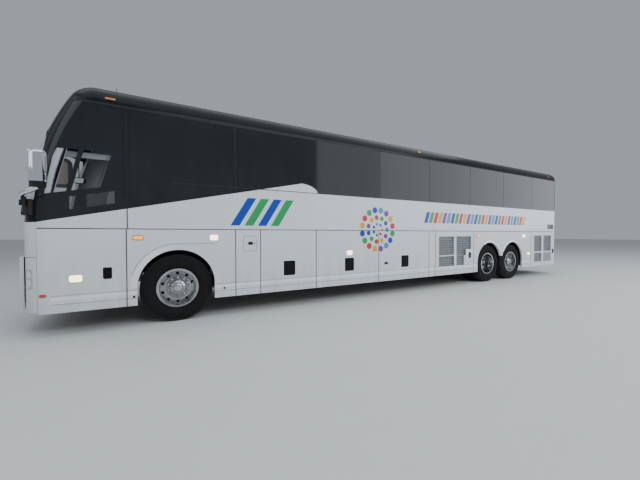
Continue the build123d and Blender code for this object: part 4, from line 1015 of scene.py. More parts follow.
    def _rounded(self, sheet: ShaderSheet, s0: float, s1: float, z0: float, z1: float) -> Socket:
        """Mask a rectangle with rounded corners, between two stations and two heights."""
        x, _, z = sheet.place()
        squares = []
        for value, low, high in ((x, station(s0), station(s1)), (z, z0, z1)):
            away = sheet.math("ABSOLUTE", sheet.minus(value, (low + high) / 2))
            past = sheet.math("MAXIMUM", sheet.minus(away, (high - low) / 2 - self.corner), 0.0)
            squares.append(sheet.times(past, past))
        reach = sheet.math("SQRT", sheet.plus(*squares))
        return sheet.below(reach, self.corner, 0.001)

    def _door_glass(self, sheet: ShaderSheet) -> Socket:
        """Mask the pane of the passenger door."""
        x, y, z = sheet.place()
        lean = sheet.times(sheet.minus(z, 1.25), 0.1818)
        front = sheet.plus(lean, station(0.664))
        low = sheet.times(sheet.within(x, front, station(1.223)), sheet.within(z, 1.249, 2.792))
        return sheet.times(low, sheet.within(y, 1.2765, 1.2885, 0.0004))

    def build(self, effects: SharedEffects) -> Material:
        """Make the paint."""
        material, sheet, shader = self.open()
        white = self.base(sheet, effects)
        colour, film = self._films(sheet, white)
        black = self._black_area(sheet)
        handles = self._handle_area(sheet)
        pane = self._door_glass(sheet)
        dark = sheet.any_of(black, pane)
        gloss_black = sheet.blend(sheet.noise(2.0, 3.0), (0.006, 0.007, 0.009), (0.011, 0.012, 0.014))
        lines = self._seam_lines(sheet)
        painted_shade, bright = self._mouldings(sheet)
        louvres = self._louvre_area(sheet)
        # Painted highlights on the skirt moulding and the front flare, then painted shade along the
        # mouldings, the arch groove and round the rear arch lips.
        colour = sheet.blend(sheet.times(bright, 0.85), colour, (0.96, 0.97, 0.98))
        colour = sheet.blend(sheet.times(painted_shade, 0.45), colour, (0.16, 0.18, 0.20))
        colour = sheet.blend(louvres, colour, (0.28, 0.30, 0.32))
        colour = sheet.blend(sheet.times(lines, 0.9), colour, (0.02, 0.025, 0.03))
        colour = sheet.blend(dark, colour, gloss_black)
        colour = sheet.blend(self._inner_trim(sheet), colour, (0.66, 0.67, 0.68))
        colour = sheet.blend(handles, colour, (0.006, 0.006, 0.007))
        alpha = sheet.blend_number(pane, 1.0, 0.35)
        sheet.give(shader, Alpha=alpha)
        cover = sheet.use(effects.road_dust, Low=0.3, High=1.35, Amount=self.dust).outputs["Mask"]
        cover = sheet.times(cover, sheet.flip(handles))
        colour = sheet.blend(cover, colour, (0.34, 0.32, 0.29))
        clean = sheet.use(effects.smudges, Clean=self.roughness * 0.75, Dull=self.roughness * 1.25)
        rough = sheet.math("MAXIMUM", clean.outputs["Roughness"], sheet.times(cover, 0.75))
        rough = sheet.blend_number(film, rough, 0.33)
        rough = sheet.blend_number(black, rough, 0.16)
        rough = sheet.blend_number(pane, rough, 0.05)
        rough = sheet.blend_number(handles, rough, 0.55)
        sheet.give(shader, Base_Color=colour, Roughness=rough)
        coat = sheet.times(sheet.flip(sheet.any_of(handles, dark)), self.coat)
        sheet.give(shader, Coat_Weight=coat)
        grain = sheet.use(effects.fine_grain, Scale=self.grain)
        ripple = sheet.plus(grain.outputs["Height"], sheet.times(sheet.noise(6.0, 1.0), 0.6))
        sheet.bump(shader, ripple, self.relief, 0.001)
        return material


@dataclass(frozen=True)
class CoachGlass(Finish):
    """Dark flush glazing, with a black printed border and the clearer panes of the driver's place."""

    line: GlassLine = GlassLine()
    seams: tuple[float, ...] = ()
    windscreen: bool = False
    tint: float = 0.975
    clear: float = 0.08
    pane_front: Slant = ((0.433, 1.881), (0.530, 2.420))
    pane_corner: Slant = ((0.5215, 2.374), (0.5745, 2.509))
    pane_rear: Slant = ((1.030, 2.002), (1.160, 2.450))
    pane_bar: Slant = ((0.6855, 1.9365), (0.824, 2.490))
    screen_edge: Slant = ((0.270, 1.4), (0.420, 2.5))
    screen_heights: tuple[float, float] = (1.600, 2.780)
    header: float = 3.108

    def _border(self, sheet: ShaderSheet) -> Socket:
        """Mask the printed border along the seams, the sill and the header."""
        x, _, z = sheet.place()
        line = self.line.height(sheet, x)
        sill = sheet.below(z, sheet.plus(line, 0.050), 0.004)
        header = sheet.rise(z, self.header, 0.004)
        posts = [sheet.along(seam - 0.060, seam + 0.060, 0.006) for seam in self.seams]
        return sheet.any_of(sill, header, *posts)

    def _joints(self, sheet: ShaderSheet) -> Socket:
        """Mask the black sealant between the panes."""
        return sheet.any_of(*[sheet.along(seam - 0.006, seam + 0.006) for seam in self.seams])

    def _driver_window(self, sheet: ShaderSheet) -> Socket:
        """Mask the driver's two panes and the strip of clearer glass under them."""
        x, y, z = sheet.place()
        front, corner = self._slant(sheet, self.pane_front), self._slant(sheet, self.pane_corner)
        back, bar = self._slant(sheet, self.pane_rear), self._slant(sheet, self.pane_bar)
        divider = sheet.within(sheet.minus(x, bar), -0.026, 0.026, 0.002)
        line = self.line.height(sheet, x)
        foot = sheet.plus(line, 0.348)
        window = sheet.all_of(
            sheet.rise(x, sheet.math("MAXIMUM", front, corner), 0.003),
            sheet.below(x, back, 0.003),
            sheet.within(z, foot, 2.490, 0.003), sheet.flip(divider),
        )
        strip = sheet.all_of(
            sheet.along(0.690, 1.190, 0.003),
            sheet.within(z, sheet.plus(line, 0.100), sheet.plus(line, 0.275), 0.003),
        )
        bar = sheet.along(0.790, 0.870, 0.003)
        strip = sheet.all_of(strip, sheet.flip(bar))
        left = sheet.below(y, 0.0)
        return sheet.times(sheet.any_of(window, sheet.times(strip, 0.7)), left)

    @staticmethod
    def _slant(sheet: ShaderSheet, edge: Slant) -> Socket:
        """Return X along a straight slanting edge at the point's height."""
        foot, head = edge
        lean = (head[0] - foot[0]) / (head[1] - foot[1])
        rise = sheet.minus(sheet.place()[2], foot[1])
        return sheet.plus(sheet.times(rise, lean), station(foot[0]))

    def _clear_area(self, sheet: ShaderSheet) -> Socket:
        """Mask the clear glass."""
        if not self.windscreen:
            return self._driver_window(sheet)
        x, _, z = sheet.place()
        aside = sheet.aside()
        side = sheet.below(x, self._slant(sheet, self.screen_edge), 0.004)
        middle = sheet.rise(aside, 0.012, 0.001)
        return sheet.all_of(side, middle, sheet.within(z, *self.screen_heights, 0.004))

    def _white_wedge(self, sheet: ShaderSheet) -> Socket:
        """Mask the white paint that runs up over the glass where the glass line levels out."""
        x, _, z = sheet.place()
        under = sheet.below(z, self.line.unbroken(sheet, x), 0.002)
        run = sheet.math("MAXIMUM", sheet.minus(x, station(4.050)), 0.0)
        share = sheet.math("MINIMUM", sheet.math("DIVIDE", run, 0.390), 1.0)
        round_off = sheet.math("SQRT", sheet.flip(sheet.times(share, share)))
        arc = sheet.plus(sheet.times(round_off, 0.178), 2.125)
        below = sheet.below(z, arc, 0.002)
        return sheet.all_of(under, below, sheet.along(self.line.rear - 0.02, 4.44))

    def build(self, effects: SharedEffects) -> Material:
        """Make the glass."""
        material, sheet, shader = self.open()
        border = self._border(sheet) if self.seams else None
        clear = self._clear_area(sheet)
        darker = tuple(c * 0.6 for c in self.colour)
        colour = sheet.blend(sheet.noise(1.3, 2.0), darker, self.colour)
        rough = self.smudged(sheet, effects)
        alpha = sheet.blend_number(clear, self.tint, self.clear)
        if self.windscreen:
            colour = sheet.blend(clear, (0.006, 0.006, 0.007), colour)
            solid = sheet.flip(clear)
        else:
            colour = sheet.blend(border, colour, (0.009, 0.010, 0.012))
            colour = sheet.blend(self._joints(sheet), colour, (0.001, 0.001, 0.001))
            rough = sheet.blend_number(self._joints(sheet), rough, 0.6)
            wedge = self._white_wedge(sheet)
            colour = sheet.blend(wedge, colour, (0.76, 0.78, 0.80))
            z = sheet.place()[2]
            foot = sheet.all_of(sheet.within(z, 2.131, 2.143), sheet.along(1.900, 4.440))
            colour = sheet.blend(foot, colour, (0.004, 0.004, 0.005))
            rough = sheet.blend_number(foot, rough, 0.6)
            rough = sheet.blend_number(wedge, rough, 0.28)
            rough = sheet.blend_number(sheet.rise(z, 3.146, 0.003), rough, 0.7)
            solid = sheet.any_of(wedge, sheet.times(border, sheet.flip(clear)))
        alpha = sheet.blend_number(solid, alpha, 1.0)
        dust = sheet.use(effects.road_dust, Low=1.2, High=3.4, Amount=0.08).outputs["Mask"]
        colour = sheet.blend(dust, colour, (0.16, 0.15, 0.14))
        sheet.give(shader, Base_Color=colour, Roughness=rough)
        sheet.give(shader, Alpha=alpha)
        sheet.bump(shader, sheet.noise(0.8, 1.0), 0.04, 0.01)
        return material


@dataclass(frozen=True)
class TreadRubber(Finish):
    """Black rubber with moulded rings on the sidewall and brown dust in the tread."""

    axle_x: float = 0.0
    axle_z: float = 0.520

    def build(self, effects: SharedEffects) -> Material:
        """Make the rubber."""
        material, sheet, shader = self.open()
        x, _, z = sheet.place()
        run = sheet.minus(x, self.axle_x)
        rise = sheet.minus(z, self.axle_z)
        reach = sheet.reach(run, rise)
        turn = sheet.math("ARCTAN2", rise, run)
        rings = sheet.wave(reach, 620.0)
        band = sheet.within(reach, 0.335, 0.460, 0.008)
        ribs = sheet.times(sheet.wave(turn, 180.0), sheet.within(reach, 0.468, 0.500, 0.004))
        raised = sheet.plus(sheet.times(sheet.times(rings, 0.35), band), ribs)
        clean = self.base(sheet, effects)
        tread = sheet.rise(reach, 0.500, 0.015)
        clouds = sheet.noise(6.0, 5.0)
        dusty = sheet.times(sheet.plus(sheet.times(tread, 0.30), 0.03), clouds)
        colour = sheet.blend(dusty, clean, (0.14, 0.125, 0.105))
        bead = sheet.within(reach, 0.300, 0.325, 0.006)
        colour = sheet.blend(sheet.times(bead, 0.4), colour, (0.006, 0.006, 0.006))
        rough = sheet.span(clouds, self.roughness * 0.85, self.roughness * 1.1)
        sheet.give(shader, Base_Color=colour, Roughness=rough)
        grain = sheet.use(effects.fine_grain, Scale=self.grain)
        height = sheet.plus(sheet.times(grain.outputs["Height"], 0.5), raised)
        sheet.bump(shader, height, self.relief, 0.0015)
        return material


@dataclass(frozen=True)
class TurnedMetal(Finish):
    """Polished aluminium wheel with turning rings, brake dust, a black painted centre and painted shade round
    the nuts.
    """

    axle_x: float = 0.0
    axle_z: float = 0.520
    dark_centre: float = 0.0

    def build(self, effects: SharedEffects) -> Material:
        """Make the metal."""
        material, sheet, shader = self.open()
        x, _, z = sheet.place()
        run = sheet.minus(x, self.axle_x)
        rise = sheet.minus(z, self.axle_z)
        reach = sheet.reach(run, rise)
        rings = sheet.wave(reach, 2600.0)
        clouds = sheet.noise(9.0, 5.0)
        colour = self.base(sheet, effects)
        grime = sheet.times(sheet.rise(clouds, 0.55, 0.16), 0.35)
        # Painted shade in the ring round the nuts and in a thin ring just outside it.
        nut_ring_shade = sheet.within(reach, 0.112, 0.176, 0.012)
        shade = sheet.any_of(nut_ring_shade, sheet.within(reach, 0.196, 0.212, 0.006))
        colour = sheet.blend(sheet.times(shade, 0.6), colour, (0.10, 0.105, 0.11))
        colour = sheet.blend(grime, colour, (0.22, 0.20, 0.18))
        rough = sheet.span(clouds, self.roughness * 0.7, self.roughness * 1.6)
        if self.dark_centre:
            hub = sheet.below(reach, self.dark_centre)
            colour = sheet.blend(hub, colour, (0.05, 0.05, 0.055))
        sheet.give(shader, Base_Color=colour, Roughness=rough)
        sheet.bump(shader, rings, self.relief, 0.0004)
        return material


@dataclass
class CoachTyre:
    """One tyre with four grooves, shoulder lugs and rounded sidewalls, turned about Y."""

    sides: int = 108
    tread_radius: float = 0.520
    tread_half: float = 0.103
    groove_middles: tuple[float, ...] = (-0.076, -0.026, 0.026, 0.076)
    groove_width: float = 0.009
    groove_depth: float = 0.012
    lug_start: float = 0.086
    lug_depth: float = 0.008
    sidewall: tuple[tuple[float, float], ...] = (
        (0.118, 0.512), (0.131, 0.492), (0.142, 0.450), (0.145, 0.403),
        (0.138, 0.350), (0.124, 0.318), (0.114, 0.304), (0.112, 0.2925),
    )

    def pattern(self, rubber: Material) -> Object:
        """Model the pattern tyre round the origin.

        Args:
            rubber: its material.

        Returns:
            The tyre.
        """
        tyre = Bench.drum(
            "tyre_pattern", (0, 0, 0), self.tread_radius, self.tread_half * 2, sides=self.sides, capped=False
        )
        half = self.groove_width / 2
        cuts = [groove + sign * half for groove in self.groove_middles for sign in (-1, 1)]
        Bench.slice(tyre, ASIDE, (*cuts, -self.lug_start, self.lug_start))
        for sign in (-1.0, 1.0):
            self._grow_side(tyre, sign)
        self._close_bead(tyre)
        self._sink(tyre, lambda middle, _: self._in_groove(middle, half), self.groove_depth)
        self._sink(tyre, self._is_notch, self.lug_depth)
        Bench.tidy_normals(tyre)
        Bench.cover(tyre, rubber)
        return tyre

    def _is_notch(self, middle: Vector, _: Vector) -> bool:
        """Say if a shoulder face lies between two lugs."""
        turn = (math.atan2(middle.z, middle.x) % math.tau) / math.tau * self.sides
        on_tread = math.hypot(middle.x, middle.z) > self.tread_radius * 0.99
        return on_tread and self.lug_start < abs(middle.y) < self.tread_half and int(turn) % 3 == 0

    def _sink(self, tyre: Object, wanted: Callable[[Vector, Vector], bool], depth: float) -> None:
        """Push the wanted faces of the tread inwards."""
        Bench.choose(tyre, wanted)
        Bench.push((0.0, 0.0, 0.0))
        ratio = 1.0 - depth / self.tread_radius
        Bench.scale((ratio, 1.0, ratio))
        Bench.clear()

    def _grow_side(self, tyre: Object, sign: float) -> None:
        """Extrude one edge of the tread into its sidewall, down to the bead."""
        end = sign * self.tread_half
        Bench.choose_edges(tyre, lambda a, b: abs(a.y - end) < 1e-5 and abs(b.y - end) < 1e-5)
        place, reach = self.tread_half, self.tread_radius
        for new_place, new_reach in self.sidewall:
            bpy.ops.mesh.extrude_region_move(
                TRANSFORM_OT_translate={"value": (0.0, sign * (new_place - place), 0.0)}
            )
            ratio = new_reach / reach
            Bench.scale((ratio, 1.0, ratio))
            place, reach = new_place, new_reach
        Bench.clear()

    def _in_groove(self, middle: Vector, half: float) -> bool:
        """Say if a face of the tread lies in one of the grooves."""
        on_tread = math.hypot(middle.x, middle.z) > self.tread_radius * 0.99
        return on_tread and any(abs(middle.y - groove) < half for groove in self.groove_middles)

    def _close_bead(self, tyre: Object) -> None:
        """Join the two beads by a band of faces."""
        bead = self.sidewall[-1][1]
        Bench.choose_edges(
            tyre,
            lambda a, b: abs(math.hypot(a.x, a.z) - bead) < 2e-3 and abs(math.hypot(b.x, b.z) - bead) < 2e-3
            and abs(a.y - b.y) < 1e-6,
        )
        bpy.ops.mesh.bridge_edge_loops()
        Bench.clear()


@dataclass
class WheelTrim:
    """Nuts and hub cap of one wheel."""

    body: str
    axle_x: float
    side: Side
    nut_face: float
    hub_face: float
    hub_radius: float
    axle_z: float = 0.520
    nut_circle: float = 0.1429
    nut_count: int = 10
    nut_radius: float = 0.0185
    nut_height: float = 0.026

    def _nut(self) -> Object:
        """Model one nut with its flange and its rounded cap, round the Y axis."""
        out = self.side.value
        start = self.nut_face - 0.001
        flange = Bench.drum("flange", (0, out * (start + 0.003), 0), self.nut_radius * 1.25, 0.006, sides=18)
        self._cap_end(flange, 0.003, 0.002)
        middle = (0, out * (start + self.nut_height / 2), 0)
        nut = Bench.drum("nut", middle, self.nut_radius, self.nut_height, sides=6)
        self._cap_end(nut, 0.004, 0.003)
        self._cap_end(nut, 0.003, 0.001)
        return Bench.join("nut_pattern", [nut, flange])

    def _cap_end(self, piece: Object, inset: float, rise: float) -> None:
        """Step the outer end of a drum inwards and outwards."""
        out = self.side.value
        reach = max(vertex.co.y * out for vertex in piece.data.vertices)
        Bench.choose(piece, lambda middle, normal: normal.y * out > 0.9 and middle.y * out > reach - 1e-5)
        Bench.push((0.0, out * rise, 0.0))
        span = max(math.hypot(v.co.x, v.co.z) for v in piece.data.vertices)
        ratio = 1.0 - inset / span
        Bench.scale((ratio, 1.0, ratio))
        Bench.clear()

    def _hub_cap(self) -> Object:
        """Model the cap over the hub, with a stepped and rounded end."""
        out = self.side.value
        radius = self.hub_radius
        middle = self.hub_face - 0.006
        cap = Bench.drum("hub_cap", (0, out * middle, 0), radius, 0.012, sides=40)
        for inset, rise in ((0.004, 0.003), (0.010, 0.0035), (0.014, 0.002)):
            self._cap_end(cap, inset, rise)
        reach = max(vertex.co.y * out for vertex in cap.data.vertices)
        Bench.choose(cap, lambda place, normal: normal.y * out > 0.9 and place.y * out > reach - 1e-5)
        Bench.rim(radius * 0.30)
        Bench.push((0.0, -out * 0.003, 0.0))
        Bench.clear()
        return cap

    def build(self, metal: Material) -> None:
        """Make the trim and let it turn with the wheel.

        Args:
            metal: finish of the nuts and the cap.
        """
        centre = Vector((self.axle_x, 0.0, self.axle_z))
        nut = self._nut()
        pieces = []
        for index in range(self.nut_count):
            turn = math.tau * (index + 0.5) / self.nut_count
            spot = centre + Vector((math.cos(turn), 0.0, math.sin(turn))) * self.nut_circle
            place = Matrix.Translation(spot) @ Matrix.Rotation(-turn, 4, "Y")
            pieces.append(Bench.twin(nut, f"nut_{index}", place))
        Bench.drop(nut)
        pieces.append(Bench.move(self._hub_cap(), "cap", Matrix.Translation(centre)))
        trim = Bench.join(f"{self.body}_nuts", pieces)
        Bench.settle(trim, self.body, "polished_aluminium", metal)


@dataclass
class RunningGear:
    """All eight tyres and the trim of the six wheels."""

    axles: tuple[tuple[str, str, str], ...] = (
        ("front_tyre", "front_wheel", "front"),
        ("drive_tyres", "drive_wheels", "drive"),
        ("tag_tyre", "tag_wheel", "tag"),
    )
    tyre_half: float = 0.145

    def build(self, effects: SharedEffects) -> None:
        """Make tyres and trim on both sides.

        Args:
            effects: the shared node groups.
        """
        tyre = CoachTyre()
        for tyre_name, wheel_name, axle in self.axles:
            low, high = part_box(f"{wheel_name}_left")
            axle_x = (low[0] + high[0]) / 2
            rubber = TreadRubber(
                f"{axle}_tyre_rubber", (0.008, 0.008, 0.009), 0.85, relief=0.5, shine=0.2, axle_x=axle_x
            )
            metal = TurnedMetal(
                f"{axle}_nut_chrome", (0.60, 0.61, 0.62), 0.12, metallic=1.0, relief=0.05, axle_x=axle_x
            )
            pattern = tyre.pattern(rubber.build(effects))
            shine = metal.build(effects)
            for side in Side:
                self._tyres(pattern, tyre_name, wheel_name, side, axle_x)
                self._trim(wheel_name, axle, side, axle_x, shine)
            Bench.drop(pattern)

    def _tyres(self, pattern: Object, tyre_name: str, wheel_name: str, side: Side, axle_x: float) -> None:
        """Copy the pattern tyre to one wheel, twice where the wheel is a twin."""
        node = f"{tyre_name}_{side.word}"
        low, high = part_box(node)
        outer = max(abs(low[1]), abs(high[1])) - self.tyre_half
        inner = min(abs(low[1]), abs(high[1])) + self.tyre_half
        rows = [outer] if outer - inner < 0.01 else [outer, inner]
        rubbers = []
        for index, row in enumerate(rows):
            place = Matrix.Translation((axle_x, side.value * row, (low[2] + high[2]) / 2))
            rubbers.append(Bench.twin(pattern, f"{node}_tread_{index}", place))
        piece = Bench.join(f"{node}_treaded", rubbers)
        Bench.settle(piece, f"{wheel_name}_{side.word}", "tyre_rubber", angle=32.0)
        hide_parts(node)

    @staticmethod
    def _trim(wheel_name: str, axle: str, side: Side, axle_x: float, shine: Material) -> None:
        """Fit nuts and cap to one wheel."""
        faces = (0.949, 1.0705, 0.058) if axle == "drive" else (1.1655, 1.2195, 0.062)
        WheelTrim(f"{wheel_name}_{side.word}", axle_x, side, *faces).build(shine)


@dataclass(frozen=True)
class Lens(Finish):
    """Moulded lens with fine ribs, lighter on their crests as a painted glint of the reflector behind, lit
    where glow is above 0.
    """

    glow: float = 0.0
    rib: float = 55.0

    def build(self, effects: SharedEffects) -> Material:
        """Make the lens."""
        material, sheet, shader = self.open()
        x, y, z = sheet.place()
        along = sheet.wave(sheet.plus(x, y), self.rib * math.tau)
        upward = sheet.wave(z, self.rib * math.tau)
        ribs = sheet.times(sheet.plus(along, upward), 0.5)
        colour = self.base(sheet, effects)
        # Lighter colour on the rib crests: painted glints of the reflector behind the lens.
        bright = sheet.times(sheet.rise(ribs, 0.25, 0.6), 0.6)
        lighter = tuple(min(1.0, channel * 1.35 + 0.03) for channel in self.colour)
        colour = sheet.blend(bright, colour, lighter)
        sheet.give(shader, Base_Color=colour)
        rough = self.smudged(sheet, effects)
        sheet.give(shader, Roughness=rough)
        if self.glow:
            sheet.give(shader, Emission_Color=colour, Emission_Strength=self.glow)
        sheet.bump(shader, ribs, self.relief, 0.001)
        return material


@dataclass
class WallSeat:
    """Finds the place and turn of a small fitting on a CAD wall."""

    frame: dict

    def on_side(self, node: str, distance: float, height: float, side: Side) -> Matrix:
        """Find a seat on a side of the coach for a fitting modelled at the origin, facing -Y."""
        start = Vector((station(distance), side.value * 3.0, height))
        return self._cast(node, start, Vector((0.0, -side.value, 0.0)))

    def on_end(self, node: str, aside: float, height: float, front: bool) -> Matrix:
        """Find a seat on the front or the rear of the coach, as on_side does."""
        sign = -1.0 if front else 1.0
        return self._cast(node, Vector((sign * 9.0, aside, height)), Vector((-sign, 0.0, 0.0)))

    def on_roof(self, node: str, distance: float, aside: float) -> Matrix:
        """Find the height of the roof, for a fitting that was modelled at the origin, facing up."""
        start = Vector((station(distance), aside, 6.0))
        hit, spot, _, _ = self.frame["nodes"][node].ray_cast(start, Vector((0.0, 0.0, -1.0)))
        if not hit:
            raise ValueError(f"no roof of {node} under {tuple(start)}")
        return Matrix.Translation(spot)

    def _cast(self, node: str, start: Vector, towards: Vector) -> Matrix:
        """Look from start towards the node and turn a fitting to face back along its normal."""
        hit, spot, normal, _ = self.frame["nodes"][node].ray_cast(start, towards)
        if not hit:
            raise ValueError(f"no wall of {node} seen from {tuple(start)}")
        turn = math.atan2(normal.x, -normal.y)
        return Matrix.Translation(spot) @ Matrix.Rotation(turn, 4, "Z")


@dataclass
class FlushLamp:
    """Rounded rectangular lamp or button: a bezel with a crowned lens in it."""

    width: float
    height: float
    corner: float = 0.014
    proud: float = 0.007
    bezel: float = 0.007
    crown: float = 0.003
    buried: float = 0.003

    def pattern(self, bezel: Material, lens: Material) -> Object:
        """Model the lamp at the origin, facing -Y.

        Args:
            bezel: finish of the frame round the lens.
            lens: finish of the lens.

        Returns:
            The lamp.
        """
        half_width, half_height = self.width / 2, self.height / 2
        low = (-half_width, -self.proud, -half_height)
        lamp = Bench.block("lamp", low, (half_width, self.buried, half_height))
        Bench.round_edges(lamp, lambda a, b: abs(a.y - b.y) > self.proud / 2, self.corner, 5)
        Bench.cover(lamp, bezel, lens)
        Bench.face(lamp, -ASIDE)
        Bench.rim(0.0015)
        Bench.slide((0.0, -0.001, 0.0))
        Bench.rim(self.bezel - 0.0015)
        Bench.push((0.0, 0.0015, 0.0))
        Bench.paint_chosen(lamp, 1)
        Bench.push((0.0, -0.0015, 0.0))
        for width, share in ((0.22, 0.7), (0.25, 0.3)):
            Bench.rim(min(half_height, half_width) * width)
            Bench.slide((0.0, -self.crown * share, 0.0))
        Bench.clear()
        Bench.tidy_normals(lamp)
        return lamp


@dataclass
class SideLamps:
    """Marker lamps, reflectors, buttons and latches along both sides."""

    seat: WallSeat

    def build(self, finishes: Finishes) -> None:
        """Place all lamps.

        Args:
            finishes: material by a short name of its use.
        """
        black, white, amber = finishes["bezel_black"], finishes["lit_white_lens"], finishes["lit_amber_lens"]
        red, pale = finishes["red_reflector"], finishes["reflector_white"]
        left_only = (
            ("cornering_lamp", "front_service_door", 0.746, 0.760, 0.154, 0.104, pale, white),
            ("corner_marker", "front_service_door", 0.405, 0.557, 0.080, 0.040, red, red),
            ("fuel_button", "fuel_flap", 3.122, 1.199, 0.080, 0.052, black, black),
            ("fuel_lock", "fuel_flap", 3.190, 1.199, 0.020, 0.020, black, pale),
        )
        both = (
            ("front_side_marker", "side_wall_{}", 1.466, 1.305, 0.138, 0.066, black, amber),
            ("arch_lamp", "side_wall_{}", 2.521, 1.300, 0.140, 0.100, pale, white),
            ("middle_lamp", "luggage_door_{}_2", 5.182, 0.973, 0.154, 0.106, pale, white),
            ("bay_latch", "luggage_door_{}_3", 6.165, 0.714, 0.100, 0.048, black, black),
            ("rear_side_marker", "side_wall_{}", 9.459, 1.307, 0.180, 0.080, black, amber),
            ("rear_arch_lamp", "side_wall_{}", 11.737, 1.300, 0.180, 0.094, pale, white),
            ("rear_low_lamp", "side_wall_{}", 12.019, 0.740, 0.150, 0.090, pale, white),
        )
        for row in left_only:
            self._fit(row, Side.LEFT)
        for row in both:
            for side in Side:
                self._fit(row, side)

    def _fit(self, row: tuple, side: Side) -> None:
        """Make one lamp and seat it on its wall."""
        name, node, distance, height, width, tall, bezel, lens = row
        node = node.format(side.word)
        corner = tall * (0.47 if "marker" in name else 0.30)
        pattern = FlushLamp(width, tall, corner=corner).pattern(bezel, lens)
        place = self.seat.on_side(node, distance, height, side)
        lamp = Bench.move(pattern, f"{name}_{side.word}", place)
        Bench.settle(lamp, "coach_body" if node.startswith("side_wall") else node, "clear_lens")


@dataclass
class RoofFittings:
    """Clearance lamps at the roof edge and the thin aerial."""

    seat: WallSeat
    aerial_station: float = 1.194
    aerial_aside: float = -0.900
    aerial_height: float = 0.115

    def build(self, finishes: Finishes) -> None:
        """Place the lamps and the aerial.

        Args:
            finishes: material by a short name of its use.
        """
        black, amber, red = finishes["bezel_black"], finishes["amber_lens"], finishes["red_reflector"]
        rows = (
            ("roof_marker_front", 1.153, 3.236, amber),
            ("roof_marker_middle", 7.200, 3.300, amber),
            ("roof_marker_rear", 13.221, 3.262, red),
        )
        for name, distance, height, lens in rows:
            for side in Side:
                pattern = FlushLamp(0.125, 0.036, corner=0.012, proud=0.016, bezel=0.005).pattern(black, lens)
                place = self.seat.on_side("roof", distance, height, side)
                lamp = Bench.move(pattern, f"{name}_{side.word}", place)
                Bench.settle(lamp, "coach_body", "clear_lens")
        self._aerial(black)

    def _aerial(self, black: Material) -> None:
        """Model the aerial: a round foot, a collar and a tapering whip."""
        foot = Bench.drum("aerial_foot", (0, 0, 0.004), 0.028, 0.012, axis="Z", sides=24)
        Bench.face(foot, UP)
        for ratio, rise in ((0.6, 0.006), (0.45, 0.008), (0.5, 0.030), (0.7, self.aerial_height - 0.050)):
            Bench.push((0.0, 0.0, rise))
            Bench.scale((ratio, ratio, 1.0))
        Bench.clear()
        place = self.seat.on_roof("roof", self.aerial_station, self.aerial_aside)
        aerial = Bench.move(foot, "roof_aerial", place)
        Bench.settle(aerial, "coach_body", "black_plastic", black)


@dataclass
class Screws:
    """Black screws at the lower ends of the skirt panels beside the front wheel arch."""

    seat: WallSeat
    radius: float = 0.017
    places: tuple[tuple[float, float], ...] = ((1.408, 0.450), (2.682, 0.466))

    def build(self, black: Material) -> None:
        """Place the screws on both sides."""
        head = Bench.drum("screw", (0, 0.0, 0), self.radius, 0.008, sides=20)
        Bench.terrace(head, -ASIDE, (0.004, 0.002), (0.004, -0.003))
        for side in Side:
            heads = [
                Bench.twin(head, "head", self.seat.on_side(f"side_wall_{side.word}", distance, height, side))
                for distance, height in self.places
            ]
            Bench.settle(Bench.join(f"arch_screws_{side.word}", heads), "coach_body", "black_plastic", black)
        Bench.drop(head)


@dataclass
class LouvreScreens:
    """Fine grey screens close behind the slats of the side and rear grilles, one for each opening."""

    wall: float = SIDE_WALL
    setback: float = 0.0425
    thickness: float = 0.003
    rib_pitch: float = 0.024
    rib_depth: float = 0.0022
    overlap: float = 0.012

    def _screen(self, side: Side, s0: float, s1: float, z0: float, z1: float) -> Object:
        """Model one screen: a thin sheet whose face is pleated into level ribs."""
        out = side.value
        face = self.wall - self.setback
        edge = self.overlap
        screen = Bench.slab(
            "screen", side, (s0 - edge, s1 + edge), (face, face - self.thickness), (z0 - edge, z1 + edge)
        )
        count = int((z1 - z0) / self.rib_pitch)
        Bench.slice(screen, UP, [z0 + (z1 - z0) * index / (count * 2) for index in range(1, count * 2)])
        step = (z1 - z0) / (count * 2)
        Bench.choose(
            screen, lambda middle, normal: normal.y * out > 0.9 and int((middle.z - z0) / step + 100) % 2 == 0
        )
        Bench.push(ASIDE * out * self.rib_depth)
        Bench.clear()
        return screen

    def build(self, grey: Material) -> None:
        """Make the screens of both sides, each set riding on its door."""
        for side in Side:
            for door in ("middle_grille_door", "rear_grille_door", "coach_body"):
                screens = [self._screen(side, *row[1:]) for row in GRILLE_OPENINGS if row[0] == door]
                body = door if door == "coach_body" else f"{door}_{side.word}"
                Bench.settle(Bench.join(f"{door}_screens_{side.word}", screens), body, "white_paint", grey)


@dataclass
class GrilleBar:
    """White bar that parts the wide lower grille of the middle door, and the louvre set on the rear one."""

    wall: float = SIDE_WALL
    proud: float = 0.004
    slat_pitch: float = 0.0285

    def build(self, paint: Material, grey: Material) -> None:
        """Make the bar and the louvre on both sides."""
        for side in Side:
            out = side.value
            faces = (self.wall - 0.001, self.wall + self.proud)
            bar = Bench.slab("bar", side, (8.452, 8.545), faces, (0.530, 0.796))
            Bench.soften(bar, 0.0018, 2)
            bar.name = f"middle_grille_bar_{side.word}"
            Bench.settle(bar, f"middle_grille_door_{side.word}", "white_paint", paint)
            louvre = Bench.slab("louvre", side, (12.949, 13.440), faces, (0.465, 0.745))
            Bench.terrace(louvre, ASIDE * out, (0.006, -0.0025))
            slats = [louvre]
            for index in range(9):
                z = 0.482 + index * self.slat_pitch
                slat = Bench.slab(
                    "slat", side, (12.957, 13.432), (self.wall, self.wall + 0.0035), (z, z + 0.016)
                )
                Bench.face(slat, ASIDE * out)
                Bench.slide((0.0, 0.0, -0.005))
                Bench.clear()
                slats.append(slat)
            piece = Bench.join(f"rear_low_louvre_{side.word}", slats)
            Bench.settle(piece, f"rear_grille_door_{side.word}", "white_paint", grey)


